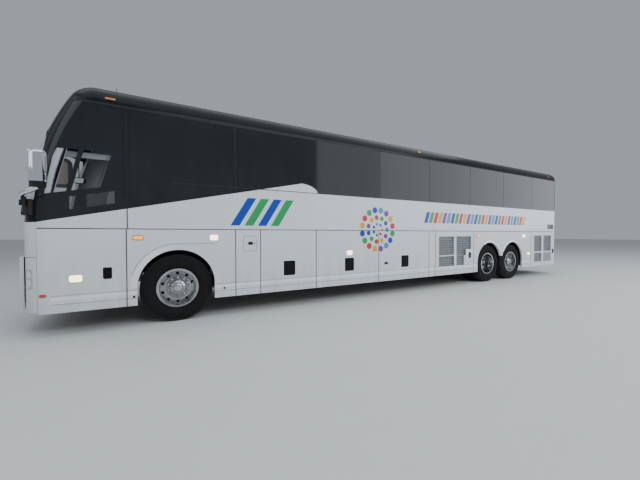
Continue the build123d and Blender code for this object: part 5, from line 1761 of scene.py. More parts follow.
@dataclass
class DoorPull:
    """White surround with a narrow black slot over the pull of the middle grille door."""

    wall: float = SIDE_WALL
    proud: float = 0.005
    plate: tuple[float, float, float, float] = (8.925, 9.246, 0.596, 0.954)
    slot: tuple[float, float, float, float] = (9.040, 9.140, 0.716, 0.876)

    def build(self, paint: Material, black: Material) -> None:
        """Make the surround on both sides and sink its slot."""
        for side in Side:
            out = side.value
            face = self.wall + self.proud
            plate = Bench.slab("plate", side, self.plate[:2], (self.wall - 0.0005, face), self.plate[2:])
            Bench.round_edges(plate, lambda a, b: abs(a.y - b.y) > 0.003, 0.018, 4)
            Bench.soften(plate, 0.0018, 2)
            cup = Bench.slab("cup", side, self.slot[:2], (face - 0.001, face + 0.003), self.slot[2:])
            Bench.round_edges(cup, lambda a, b: abs(a.y - b.y) > 0.002, 0.022, 5)
            Bench.terrace(cup, ASIDE * out, (0.006, -0.0018))
            Bench.cover(plate, paint)
            Bench.cover(cup, black)
            pull = Bench.join(f"middle_grille_pull_{side.word}", [plate, cup])
            Bench.settle(pull, f"middle_grille_door_{side.word}", "white_paint")


@dataclass
class ArchLips:
    """Raised white lips over the two rear wheel arches."""

    wall: float = SIDE_WALL
    proud: float = 0.016
    inner: float = 0.546
    outer: float = 0.604
    arch_z: float = 0.575
    steps: int = 30

    def build(self, paint: Material) -> None:
        """Spin a flat profile over each arch, on both sides."""
        for wheel, spread in (("drive_wheels", (-62.0, 30.0)), ("tag_wheel", (-30.0, 62.0))):
            for side in Side:
                low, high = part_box(f"{wheel}_left")
                x = (low[0] + high[0]) / 2
                out = side.value
                foot, head = self.arch_z + self.inner, self.arch_z + self.outer
                lip = Bench.block(
                    "lip", (x - 0.001, out * (self.wall - 0.002), foot),
                    (x + 0.001, out * (self.wall + self.proud), head),
                )
                Bench.choose_edges(
                    lip,
                    lambda a, b: abs(a.x - b.x) > 0.001 and a.z > head - 0.001 and a.y * out > self.wall,
                )
                bpy.ops.mesh.bevel(offset=0.013, segments=4, affect="EDGES")
                Bench.clear()
                for limit in spread:
                    sign = math.copysign(1.0, limit)
                    Bench.face(lip, ALONG * sign)
                    bpy.ops.mesh.spin(
                        steps=self.steps, angle=math.radians(abs(limit)),
                        center=(x, 0.0, self.arch_z), axis=(0.0, sign, 0.0),
                    )
                    Bench.clear()
                Bench.tidy_normals(lip)
                lip.name = f"{wheel}_arch_lip_{side.word}"
                Bench.settle(lip, "coach_body", "white_paint", paint)


@dataclass
class OutsideMirror:
    """Outside mirror: moulded foot, bent tube, black bowl and rounded chrome shell."""

    foot: tuple[float, float, float] = (0.262, 1.212, 1.700)
    tube: tuple[tuple[float, float, float], ...] = (
        (0.208, 1.262, 1.812), (0.214, 1.300, 1.848), (0.280, 1.400, 1.876),
        (0.370, 1.480, 1.900), (0.440, 1.520, 1.940),
    )
    shell: tuple[float, float, float, float, float, float] = (0.350, 0.506, 1.452, 1.620, 1.994, 2.374)
    bowl: tuple[float, float, float, float, float, float] = (0.358, 0.503, 1.458, 1.614, 1.926, 1.993)

    def build(self, finishes: Finishes) -> None:
        """Make both mirrors in the place of the CAD ones.

        Args:
            finishes: material by a short name of its use.
        """
        for side in Side:
            shell = self._shell(side, self.shell, 0.045, 0.0)
            shell.name = f"mirror_shell_{side.word}"
            Bench.settle(shell, "coach_body", "chrome", finishes["mirror_chrome"], angle=45.0)
            bowl = self._shell(side, self.bowl, 0.006, 0.040)
            foot = self._foot(side)
            base = Bench.join(f"mirror_base_{side.word}", [bowl, foot])
            Bench.settle(base, "coach_body", "black_plastic", finishes["bezel_black"], angle=45.0)
            tube = self._tube(side)
            Bench.settle(tube, "coach_body", "chrome", finishes["mirror_chrome"], angle=60.0)
            for piece in (shell, base, tube):
                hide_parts("mirrors")

    @staticmethod
    def _shell(side: Side, box: Sequence[float], top: float, bottom: float) -> Object:
        """Model a rounded shell with a recess in its rear face.

        Args:
            side: side of the coach.
            box: stations, distances aside and heights.
            top: radius of the upper edges.
            bottom: radius of the lower edges.

        Returns:
            The shell.
        """
        s0, s1, y0, y1, z0, z1 = box
        out = side.value
        shell = Bench.slab("shell", side, (s0, s1), (y0, y1), (z0, z1))
        front = station(s0) + 0.001
        for outer, radius in ((True, 0.095), (False, 0.030)):
            Bench.round_edges(
                shell, lambda a, b: abs(a.z - b.z) > 0.01 and max(a.x, b.x) < front
                and (a.y * out > (y0 + y1) / 2) == outer, radius, 9
            )
        for height, radius in ((z1, top), (z0, bottom)):
            if radius > 0.0:
                Bench.round_edges(
                    shell, lambda a, b: abs(a.z - height) < 1e-4 and abs(b.z - height) < 1e-4
                    and (a.x < station(s1) - 1e-3 or b.x < station(s1) - 1e-3), radius, 6
                )
        if z1 - z0 > 0.1:
            Bench.choose(shell, lambda middle, normal: normal.x > 0.9 and middle.x > station(s1) - 0.002)
            Bench.rim(0.014)
            Bench.push((-0.012, 0.0, 0.0))
            Bench.clear()
        return shell

    def _foot(self, side: Side) -> Object:
        """Model the foot, turned to the corner of the body."""
        s, y, z = self.foot
        foot = Bench.block("foot", (-0.035, -0.062, -0.102), (0.035, 0.062, 0.098))
        Bench.round_edges(foot, lambda a, b: abs(a.z - b.z) > 0.1, 0.020, 5)
        Bench.terrace(foot, UP, (0.010, 0.006))
        place = Matrix.Translation((station(s), side.value * y, z)) @ Matrix.Rotation(
            math.radians(-45.0 * side.value), 4, "Z"
        )
        turned = Bench.move(foot, "foot", place)
        middle = (station(0.222), side.value * 1.250, 1.775)
        neck = Bench.drum("neck", middle, 0.036, 0.110, axis="Z", sides=28)
        Bench.terrace(neck, UP, (0.006, 0.006))
        return Bench.join("foot", [turned, neck])

    def _tube(self, side: Side) -> Object:
        """Model the bent tube as a smooth curve with a round section."""
        Bench.clear()
        curve = bpy.data.curves.new("mirror_tube", "CURVE")
        curve.dimensions = "3D"
        curve.bevel_depth = 0.031
        curve.bevel_resolution = 5
        curve.use_fill_caps = True
        spline = curve.splines.new("NURBS")
        spline.points.add(len(self.tube) - 1)
        for point, (s, y, z) in zip(spline.points, self.tube):
            point.co = (station(s), side.value * y, z, 1.0)
        spline.order_u = 3
        spline.use_endpoint_u = True
        holder = bpy.data.objects.new(f"mirror_tube_{side.word}", curve)
        bpy.context.scene.collection.objects.link(holder)
        Bench.activate(holder)
        bpy.ops.object.convert(target="MESH")
        return bpy.context.object


@dataclass
class BumperGrille:
    """Curved bars across the two intakes of the front bumper."""

    bow: float = 4.480
    half_width: float = 0.640
    bars: tuple[float, ...] = (0.430, 0.460, 0.490, 0.585, 0.615)
    height: float = 0.010
    depth: float = 0.014
    steps: int = 10

    def build(self, black: Material) -> None:
        """Spin each bar from the middle to both sides."""
        middle_x = station(4.500)
        turn = math.asin(self.half_width / self.bow)
        bars = []
        for height in self.bars:
            front = middle_x - self.bow
            low, high = height - self.height / 2, height + self.height / 2
            bar = Bench.block("bar", (front, -0.002, low), (front + self.depth, 0.002, high))
            for sign in (-1.0, 1.0):
                Bench.face(bar, ASIDE * sign)
                bpy.ops.mesh.spin(
                    steps=self.steps, angle=turn, center=(middle_x, 0.0, 0.0), axis=(0.0, 0.0, -sign)
                )
                Bench.clear()
            Bench.tidy_normals(bar)
            bars.append(bar)
        grille = Bench.join("bumper_grille_bars", bars)
        Bench.settle(grille, "coach_body", "black_plastic", black)


@dataclass
class BlankPlate:
    """Blank registration plate with a raised rim and four screws."""

    width: float = 0.305
    height: float = 0.152
    thickness: float = 0.003

    def pattern(self, enamel: Material, steel: Material) -> Object:
        """Model the plate at the origin with its back at Y = 0, facing -Y."""
        low = (-self.width / 2, -self.thickness, -self.height / 2)
        plate = Bench.block("plate", low, (self.width / 2, -0.0002, self.height / 2))
        Bench.round_edges(plate, lambda a, b: abs(a.y - b.y) > self.thickness / 2, 0.012, 4)
        Bench.terrace(plate, -ASIDE, (0.005, -0.0012))
        Bench.cover(plate, enamel, steel)
        heads = [plate]
        for across in (-0.090, 0.090):
            for up in (-0.057, 0.057):
                head = Bench.drum("head", (across, -self.thickness, up), 0.006, 0.004, sides=12)
                Bench.terrace(head, -ASIDE, (0.0025, 0.001))
                Bench.cover(head, enamel, steel)
                for face in head.data.polygons:
                    face.material_index = 1
                heads.append(head)
        return Bench.join("plate", heads)

    def build(self, seat: WallSeat, enamel: Material, steel: Material) -> None:
        """Fit a plate at the front and one at the rear."""
        pattern = self.pattern(enamel, steel)
        front = seat.on_end("front_body", 0.060, 0.720, front=True)
        rear = seat.on_end("rear_body", 0.060, 0.500, front=False)
        for name, spot in (("front_plate", front), ("rear_plate", rear)):
            place = Matrix.Translation((0.0, -spot.translation.y, 0.0)) @ spot
            Bench.settle(Bench.twin(pattern, name, place), "coach_body", "white_paint")
        Bench.drop(pattern)


@dataclass
class Wipers:
    """Two parked wipers: a pivot cap, a jointed arm and a blade that follows the glass."""

    pivot: tuple[float, float] = (0.930, 1.640)
    blade_inner: float = 0.060
    blade_outer: float = 0.930
    blade_low: float = 1.790
    blade_high: float = 1.850
    blade_steps: int = 14
    clearance: float = 0.014

    def _on_glass(self, seat: WallSeat, aside: float, height: float, lift: float) -> Vector:
        """Return a point at some distance in front of the windscreen."""
        place = seat.on_end("windscreen", aside, height, front=True)
        return place.translation + Vector((-lift, 0.0, 0.0))

    @staticmethod
    def _run(name: str, points: Sequence[Vector], half: float, tall: float) -> Object:
        """Extrude a bar along points.

        Args:
            name: name of the bar.
            points: its line, which grows in Y.
            half: half its depth.
            tall: half its height.

        Returns:
            The bar.
        """
        first = points[0]
        low = first + Vector((-half, -0.001, -tall))
        high = first + Vector((half, 0.001, tall))
        bar = Bench.block(name, low, high)
        Bench.face(bar, ASIDE)
        for start, end in zip(points, points[1:]):
            Bench.push(end - start)
        Bench.clear()
        return bar

    def build(self, seat: WallSeat, black: Material) -> None:
        """Make both wipers."""
        for side in Side:
            sign = side.value
            ends = sorted((sign * self.blade_inner, sign * self.blade_outer))
            points, rubber = [], []
            for index in range(self.blade_steps + 1):
                share = index / self.blade_steps
                aside = ends[0] + (ends[1] - ends[0]) * share
                outward = (abs(aside) - self.blade_inner) / (self.blade_outer - self.blade_inner)
                height = self.blade_high + (self.blade_low - self.blade_high) * outward
                points.append(self._on_glass(seat, aside, height, self.clearance + 0.010))
                rubber.append(self._on_glass(seat, aside, height, 0.006))
            blade = self._run("blade", points, 0.006, 0.007)
            lip = self._run("lip", rubber, 0.0055, 0.0015)
            hub = self._pivot(seat, sign)
            arm = self._arm(seat, sign, points[len(points) // 2])
            wiper = Bench.join(f"wiper_{side.word}", [blade, lip, hub, arm])
            Bench.tidy_normals(wiper)
            Bench.settle(wiper, "coach_body", "black_plastic", black)

    def _pivot(self, seat: WallSeat, sign: float) -> Object:
        """Model the round cap over the wiper's shaft."""
        spot = seat.on_end("windscreen", sign * self.pivot[0], self.pivot[1], front=True).translation
        cap = Bench.drum("cap", spot + Vector((-0.010, 0.0, 0.0)), 0.026, 0.030, axis="X", sides=24)
        Bench.terrace(cap, -ALONG, (0.006, 0.006), (0.012, -0.004))
        return cap

    def _arm(self, seat: WallSeat, sign: float, middle: Vector) -> Object:
        """Model the arm from the pivot to the middle of the blade."""
        start = self._on_glass(seat, sign * self.pivot[0], self.pivot[1], 0.022)
        end = middle + Vector((-0.010, 0.0, 0.0))
        line = [start]
        for share in (0.25, 0.5, 0.75):
            spot = start.lerp(end, share)
            line.append(self._on_glass(seat, spot.y, spot.z, 0.030))
        line.append(end)
        if line[0].y > line[-1].y:
            line.reverse()
        return self._run("arm", line, 0.005, 0.011)


@dataclass
class MirrorFaces:
    """Reflecting glass in the outside mirrors, with a bar between the flat and the wide-angle pane."""

    back: float = 0.495
    inner: float = 1.472
    outer: float = 1.600
    low: float = 2.014
    split: float = 2.125
    high: float = 2.352

    def build(self, glass: Material, black: Material) -> None:
        """Set two panes and their bar in each mirror head."""
        for side in Side:
            pieces = []
            panes = (
                ("wide", (self.low, self.split - 0.006), 0.030, 0.0015),
                ("flat", (self.split + 0.006, self.high), 0.020, 0.0003),
            )
            for name, heights, width, crown in panes:
                back = (self.back - 0.004, self.back + 0.001)
                pane = Bench.slab(name, side, back, (self.inner, self.outer), heights)
                Bench.round_edges(pane, lambda a, b: abs(a.x - b.x) > 0.002, 0.022, 5)
                Bench.face(pane, ALONG)
                Bench.rim(0.004)
                Bench.push((0.001, 0.0, 0.0))
                Bench.rim(width)
                Bench.slide((crown, 0.0, 0.0))
                Bench.clear()
                pieces.append(pane)
            joined = Bench.join(f"mirror_panes_{side.word}", pieces)
            Bench.settle(joined, "coach_body", "chrome", glass, angle=50.0)
            bar = Bench.slab(
                f"mirror_bar_{side.word}", side, (self.back - 0.004, self.back + 0.003),
                (self.inner - 0.002, self.outer + 0.002), (self.split - 0.005, self.split + 0.005),
            )
            Bench.soften(bar, 0.0015)
            Bench.settle(bar, "coach_body", "black_plastic", black)


@dataclass(frozen=True)
class SeatCloth(Finish):
    """Woven seat cloth with a small fleck, sewn channels and worn tops."""

    fleck: Colour = (0.30, 0.36, 0.52)
    channel: float = 0.075

    def build(self, effects: SharedEffects) -> Material:
        """Make the cloth."""
        material, sheet, shader = self.open()
        x, y, z = sheet.place()
        weave_x = sheet.wave(sheet.plus(x, z), 2400.0)
        weave_y = sheet.wave(y, 2400.0)
        weave = sheet.times(weave_x, weave_y)
        colour = self.base(sheet, effects)
        cells = sheet.add("ShaderNodeTexVoronoi")
        sheet.give(cells, Vector=sheet.vector(), Scale=42.0)
        spots = sheet.below(cells.outputs["Distance"], 0.20, 0.05)
        colour = sheet.blend(sheet.times(spots, 0.55), colour, self.fleck)
        worn = sheet.times(sheet.rise(sheet.noise(5.0, 4.0), 0.56, 0.12), 0.22)
        colour = sheet.blend(worn, colour, (0.20, 0.22, 0.27))
        rows = sheet.math("FRACT", sheet.math("DIVIDE", sheet.plus(z, sheet.times(x, 1.3)), self.channel))
        seam = sheet.within(rows, 0.46, 0.54, 0.04)
        colour = sheet.blend(sheet.times(seam, 0.45), colour, (0.02, 0.03, 0.06))
        sheet.give(shader, Base_Color=colour)
        sheet.give(shader, Roughness=sheet.span(sheet.noise(14.0, 3.0), 0.82, 0.97))
        sheet.give(shader, Sheen_Weight=0.35)
        sheet.bump(shader, sheet.minus(sheet.times(weave, 0.25), seam), self.relief, 0.002)
        return material


@dataclass
class SeatPad:
    """Blown-up padded form made from a plain closed shape by a short cloth simulation."""

    voxel: float = 0.016
    pressure: float = 4.0
    limit: float = 0.012
    frames: int = 16
    keep: float = 0.42

    def fill(self, pad: Object) -> Object:
        """Remesh the shape evenly, blow it up, cap each point's move and thin the mesh.

        Args:
            pad: the closed shape.

        Returns:
            The same object, padded.
        """
        Bench.activate(pad)
        even = pad.modifiers.new("even_mesh", "REMESH")
        even.mode = "VOXEL"
        even.voxel_size = self.voxel
        bpy.ops.object.modifier_apply(modifier=even.name)
        self._simulate(pad)
        smooth = pad.modifiers.new("relax", "SMOOTH")
        smooth.factor = 0.5
        smooth.iterations = 3
        bpy.ops.object.modifier_apply(modifier=smooth.name)
        thin = pad.modifiers.new("thin", "DECIMATE")
        thin.ratio = self.keep
        bpy.ops.object.modifier_apply(modifier=thin.name)
        return pad

    def _simulate(self, pad: Object) -> None:
        """Run the cloth under pressure and keep its last frame."""
        start = [vertex.co.copy() for vertex in pad.data.vertices]
        cloth = pad.modifiers.new("pressure_cloth", "CLOTH")
        cloth.settings.use_pressure = True
        cloth.settings.uniform_pressure_force = self.pressure
        cloth.settings.effector_weights.gravity = 0.0
        cloth.point_cache.frame_start = 1
        cloth.point_cache.frame_end = self.frames
        scene = bpy.context.scene
        for frame in range(1, self.frames + 1):
            scene.frame_set(frame)
        bpy.ops.object.modifier_apply(modifier=cloth.name)
        scene.frame_set(1)
        for vertex, origin in zip(pad.data.vertices, start):
            move = vertex.co - origin
            if move.length > self.limit:
                vertex.co = origin + move.normalized() * self.limit


@dataclass
class CoachSeats:
    """Rows of padded double seats, the driver's seat and their steel frames."""

    first_row: float = 2.500
    pitch: float = 0.830
    rows: int = 13
    deck: float = 1.4005
    aisle: float = 0.250
    wall: float = 1.225
    driver: tuple[float, float, float, float] = (0.700, -0.960, -0.440, 0.9005)
    margin: float = 0.009

    def build(self, finishes: Finishes) -> None:
        """Make the pads once, copy them to each place and add the frames.

        Args:
            finishes: material by a short name of its use.
        """
        half = (self.wall - self.aisle) / 4
        pads = self._pads(half, finishes["seat_cloth"])
        for side in Side:
            copies = []
            for row in range(self.rows):
                for column in (0, 1):
                    aside = side.value * (self.aisle + half * (2 * column + 1))
                    spot = (self._row_x(row), aside, self.deck)
                    copies += [Bench.twin(pad, "pad", Matrix.Translation(spot)) for pad in pads]
            self._finish(Bench.join(f"passenger_seats_{side.word}", copies))
            self._frames(side, finishes["seat_steel"])
        self._driver_seat(pads, half)
        for pad in pads:
            Bench.drop(pad)

    def _row_x(self, row: int) -> float:
        """Return X of a row's front foot."""
        return station(self.first_row + self.pitch * row)

    @staticmethod
    def _finish(piece: Object) -> None:
        """Shade a joined set of pads, let it ride on the coach body and hide the CAD seats in its place."""
        Bench.settle(piece, "coach_body", "seat_fabric", angle=60.0)
        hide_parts("seats")

    def _pads(self, half: float, cloth: Material) -> list[Object]:
        """Model one cushion and one back round the front foot of the seat."""
        side = half - self.margin
        cushion = Bench.block("cushion", (0.010, -side, 0.318), (0.436, side, 0.450))
        Bench.face(cushion, -ALONG)
        Bench.push((-0.002, 0.0, 0.0))
        Bench.scale((1.0, 0.95, 0.55), (0.010, 0.0, 0.375))
        Bench.clear()
        Bench.soften(cushion, 0.022, 3)
        back = Bench.block("back", (0.456, -side, 0.345), (0.505, side, 0.420))
        steps = (
            (0.030, 0.110, 1.25), (0.045, 0.230, 1.0), (0.040, 0.200, 0.92),
            (0.036, 0.170, 0.85), (0.005, 0.030, 0.6),
        )
        Bench.face(back, UP)
        place = Vector((0.4805, 0.0, 0.420))
        for forward, rise, ratio in steps:
            Bench.push((forward, 0.0, rise))
            place += Vector((forward, 0.0, rise))
            Bench.scale((ratio, 0.985, 1.0), tuple(place))
        Bench.clear()
        Bench.soften(back, 0.018, 3)
        maker = SeatPad()
        pads = [maker.fill(cushion), maker.fill(back)]
        for pad in pads:
            Bench.cover(pad, cloth)
        return pads

    def _driver_seat(self, pads: Sequence[Object], half: float) -> None:
        """Copy the pads, a little wider, to the driver's place."""
        front, low, high, floor = self.driver
        wider = Matrix.Diagonal((1.0, (high - low) / (2 * half), 1.0, 1.0))
        place = Matrix.Translation((station(front), (low + high) / 2, floor)) @ wider
        self._finish(Bench.join("driver_seat", [Bench.twin(pad, "pad", place) for pad in pads]))

    def _frames(self, side: Side, steel: Material) -> None:
        """Model the frame of one double seat and copy it down the coach."""
        out = side.value
        inner, outer = self.aisle + 0.020, self.wall - 0.004
        rails = [
            Bench.block("rail", (start, out * inner, 0.275), (start + 0.035, out * outer, 0.310))
            for start in (0.080, 0.350)
        ]
        leg_y = (out * (inner + 0.045), out * (inner + 0.085))
        leg = Bench.block("leg", (0.110, leg_y[0], 0.014), (0.370, leg_y[1], 0.276))
        Bench.face(leg, -UP)
        Bench.push((0.0, 0.0, -0.013))
        Bench.scale((1.12, 1.9, 1.0), (0.240, sum(leg_y) / 2, 0.0))
        Bench.clear()
        arm_y = (out * (self.aisle + 0.001), out * (self.aisle + 0.040))
        arm = Bench.block("arm", (0.130, arm_y[0], 0.640), (0.470, arm_y[1], 0.672))
        Bench.face(arm, -ALONG)
        Bench.push((-0.030, 0.0, -0.006))
        Bench.clear()
        frame = Bench.join("frame", [*rails, leg, arm])
        Bench.soften(frame, 0.005)
        copies = [
            Bench.twin(frame, "frame", Matrix.Translation((self._row_x(row), 0.0, self.deck)))
            for row in range(self.rows)
        ]
        Bench.drop(frame)
        joined = Bench.join(f"seat_frames_{side.word}", copies)
        Bench.settle(joined, "coach_body", "frame_steel", steel)


@dataclass
class DriverPlace:
    """Sun visor, small inner mirror and blind roller seen through the driver's windows."""

    def build(self, finishes: Finishes) -> None:
        """Make the pieces.

        Args:
            finishes: material by a short name of its use.
        """
        self._visor(finishes["visor_beige"], finishes["seat_steel"])
        self._mirror(finishes["mirror_glass"], finishes["bezel_black"])
        self._blind(finishes["blind_grey"])

    @staticmethod
    def _visor(cloth: Material, rim: Material) -> None:
        """Model the visor as a rounded board with a darker rim, hung from its rod."""
        board = Bench.block("board", (station(0.270), -0.508, 2.060), (station(0.585), -0.492, 2.510))
        Bench.round_edges(board, lambda a, b: abs(a.y - b.y) > 0.01, 0.095, 8)
        Bench.cover(board, rim, cloth)
        for sign in (-1.0, 1.0):
            Bench.face(board, ASIDE * sign)
            Bench.rim(0.052)
            Bench.paint_chosen(board, 1)
            Bench.push((0.0, sign * 0.004, 0.0))
            Bench.rim(0.010)
            Bench.clear()
        rod = Bench.drum("rod", (station(0.440), -0.500, 2.640), 0.008, 0.36, axis="Z", sides=16)
        Bench.choose(rod, lambda _, normal: abs(normal.z) > 0.9)
        Bench.rim(0.002)
        Bench.push((0.0, 0.0, 0.0))
        Bench.clear()
        Bench.cover(rod, rim)
        visor = Bench.join("sun_visor", [board, rod])
        Bench.settle(visor, "coach_body", "black_plastic")

    @staticmethod
    def _mirror(glass: Material, rim: Material) -> None:
        """Model the inner mirror, tilted back, on a short stalk from the header."""
        x = station(0.730)
        head = Bench.block("head", (x - 0.080, -0.912, 2.085), (x + 0.080, -0.888, 2.172))
        Bench.round_edges(head, lambda a, b: abs(a.y - b.y) > 0.01, 0.036, 6)
        Bench.cover(head, rim, glass)
        Bench.face(head, -ASIDE)
        Bench.rim(0.010)
        Bench.push((0.0, 0.003, 0.0))
        Bench.paint_chosen(head, 1)
        Bench.clear()
        stalk = Bench.drum("stalk", (x, -0.900, 2.330), 0.006, 0.320, axis="Z", sides=12)
        Bench.terrace(stalk, UP, (0.002, 0.002))
        Bench.cover(stalk, rim)
        mirror = Bench.join("inner_mirror", [head, stalk])
        Bench.settle(mirror, "coach_body", "black_plastic")

    @staticmethod
    def _blind(cloth: Material) -> None:
        """Model the rolled side blind at the head of the driver's window."""
        roll = Bench.drum("roll", (station(0.905), -1.215, 2.455), 0.026, 0.560, axis="X", sides=24)
        Bench.face(roll, -UP)
        Bench.push((0.0, 0.0, -0.035))
        Bench.clear()
        Bench.choose(roll, lambda _, normal: abs(normal.x) > 0.9)
        Bench.rim(0.006)
        Bench.push((0.0, 0.0, 0.0))
        Bench.clear()
        Bench.soften(roll, 0.002)
        roll.name = "driver_side_blind"
        Bench.settle(roll, "coach_body", "seat_fabric", cloth)


@dataclass(frozen=True)
class LampFace(Finish):
    """Face of a lamp cluster: round lenses with bright rims on a dark or red ground."""

    discs: tuple[tuple[float, float, float, Colour], ...] = ()
    rib: float = 190.0

    def build(self, effects: SharedEffects) -> Material:
        """Make the lamp face."""
        material, sheet, shader = self.open()
        z = sheet.place()[2]
        aside = sheet.aside()
        colour = self.base(sheet, effects)
        relief = sheet.times(sheet.wave(z, self.rib * math.tau), 0.25)
        for across, height, radius, tint in self.discs:
            run = sheet.minus(aside, across)
            rise = sheet.minus(z, height)
            reach = sheet.reach(run, rise)
            disc = sheet.below(reach, radius, 0.001)
            rim = sheet.within(reach, radius * 0.90, radius, 0.001)
            rings = sheet.wave(reach, 900.0)
            shade = sheet.blend(sheet.rise(rings, 0.0, 0.9), tuple(c * 0.7 for c in tint), tint)
            colour = sheet.blend(disc, colour, shade)
            colour = sheet.blend(rim, colour, (0.62, 0.63, 0.65))
            relief = sheet.plus(relief, sheet.times(disc, sheet.plus(sheet.times(rings, 0.3), 0.6)))
        sheet.give(shader, Base_Color=colour)
        rough = self.smudged(sheet, effects)
        sheet.give(shader, Roughness=rough)
        sheet.bump(shader, relief, self.relief, 0.002)
        return material


@dataclass
class Studio:
    """Camera, lights and floor of the photograph."""

    lens: float = 16.875
    camera_place: tuple[float, float, float] = (-5.2155, -6.390, 1.361)
    camera_turn: tuple[float, float, float] = (88.825, 0.0, -29.02)
    floor_reach: float = 90.0

    def build(self, effects: SharedEffects) -> None:
        """Set up the camera, the floor, the world and the lights.

        Args:
            effects: the shared node groups.
        """
        self._camera()
        self._floor(effects)
        self._world()
        self._lights()

    def _camera(self) -> None:
        """Place the camera where the photograph was taken from."""
        data = bpy.data.cameras.new("photo_camera")
        data.lens = self.lens
        data.sensor_width = 36.0
        data.clip_end = 300.0
        camera = bpy.data.objects.new("photo_camera", data)
        camera.location = self.camera_place
        camera.rotation_euler = Euler([math.radians(angle) for angle in self.camera_turn])
        bpy.context.scene.collection.objects.link(camera)
        bpy.context.scene.camera = camera

    def _floor(self, effects: SharedEffects) -> None:
        """Lay a wide pale floor."""
        bpy.ops.object.select_all(action="DESELECT")
        bpy.ops.mesh.primitive_plane_add(size=self.floor_reach * 2)
        floor = bpy.context.object
        floor.name = "studio_floor"
        pale = Finish("studio_floor_pale", (0.62, 0.62, 0.61), roughness=0.7, grain=60.0, tone=0.04)
        floor.data.materials.append(pale.build(effects))

    def _world(self) -> None:
        """Fill the room with soft white light."""
        world = bpy.data.worlds.new("studio_room")
        world.use_nodes = True
        sky = world.node_tree.nodes["Background"]
        sky.inputs["Color"].default_value = (0.84, 0.92, 1.0, 1.0)
        sky.inputs["Strength"].default_value = 0.42
        bpy.context.scene.world = world

    def _lights(self) -> None:
        """Hang soft panels over and beside the coach."""
        panels = {
            "top_panel": ((0.0, -3.0, 12.0), (0.0, -2.9, 0.0), (26.0, 14.0), 1300.0),
            "side_panel": ((5.0, -15.0, 11.0), (4.0, -1.3, 1.5), (20.0, 5.0), 1500.0),
            "front_panel": ((-16.0, -3.0, 8.0), (-6.0, 0.0, 1.5), (12.0, 8.0), 330.0),
            "middle_horizon": ((7.15, -14.0, 5.6), (7.15, 0.0, 5.5), (5.5, 7.4), 170.0),
            "rear_horizon": ((24.0, -14.0, 5.6), (24.0, 0.0, 5.5), (28.2, 7.4), 1500.0),
        }
        for name, (place, target, size, power) in panels.items():
            data = bpy.data.lights.new(name, "AREA")
            data.shape = "RECTANGLE"
            data.size, data.size_y = size
            data.energy = power
            data.color = (0.90, 0.95, 1.0)
            light = bpy.data.objects.new(name, data)
            light.location = place
            light.rotation_euler = (Vector(target) - Vector(place)).to_track_quat("-Z", "Y").to_euler()
            bpy.context.scene.collection.objects.link(light)


def slot_finishes() -> dict[str, Finish]:
    """Return the finish of each material slot of the record."""
    return {
        "white_paint": CoachPaint(
            "coach_white", (0.74, 0.77, 0.80), 0.26, coat=0.45, shine=0.16, dust=0.30, relief=0.03, tone=0.04
        ),
        "tinted_glass": CoachGlass("coach_glass", (0.012, 0.016, 0.020), 0.045, seams=SIDE_SEAMS, shine=0.42),
        "frame_steel": Finish("frame_black", (0.028, 0.028, 0.03), 0.6, dust=0.6, grain=180.0),
        "engine_grey": Finish("engine_cast_grey", (0.25, 0.26, 0.27), 0.6, dust=0.4, grain=120.0, relief=0.3),
        "axle_black": Finish("axle_black", (0.03, 0.03, 0.03), 0.5, dust=0.8, grain=150.0, relief=0.2),
        "tyre_rubber": Finish("tyre_rubber", (0.02, 0.02, 0.02), 0.75, dust=0.3),
        "polished_aluminium": Finish("wheel_aluminium", (0.80, 0.81, 0.83), 0.15, metallic=1.0, relief=0.02),
        "chrome": Finish("mirror_core", (0.86, 0.87, 0.89), 0.05, metallic=1.0, relief=0.3),
        "seat_fabric": SeatCloth("seat_blue_cloth", (0.05, 0.10, 0.28), 0.9, relief=0.5),
        "black_plastic": Finish("black_plastic", (0.025, 0.025, 0.026), 0.5, relief=0.25),
        "clear_lens": LampFace(
            "headlamp_face", (0.48, 0.50, 0.52), 0.05, coat=1.0, relief=0.4,
            discs=((1.167, 0.715, 0.052, (0.85, 0.87, 0.90)), (1.167, 0.832, 0.052, (0.85, 0.87, 0.90))),
        ),
        "red_lens": LampFace(
            "tail_lamp_face", (0.03, 0.03, 0.032), 0.08, coat=1.0, relief=0.5,
            discs=(
                (1.025, 0.810, 0.080, (0.70, 0.72, 0.74)),
                (1.025, 1.015, 0.080, (0.62, 0.20, 0.01)),
                (1.025, 1.220, 0.080, (0.45, 0.01, 0.01)),
            ),
        ),
    }


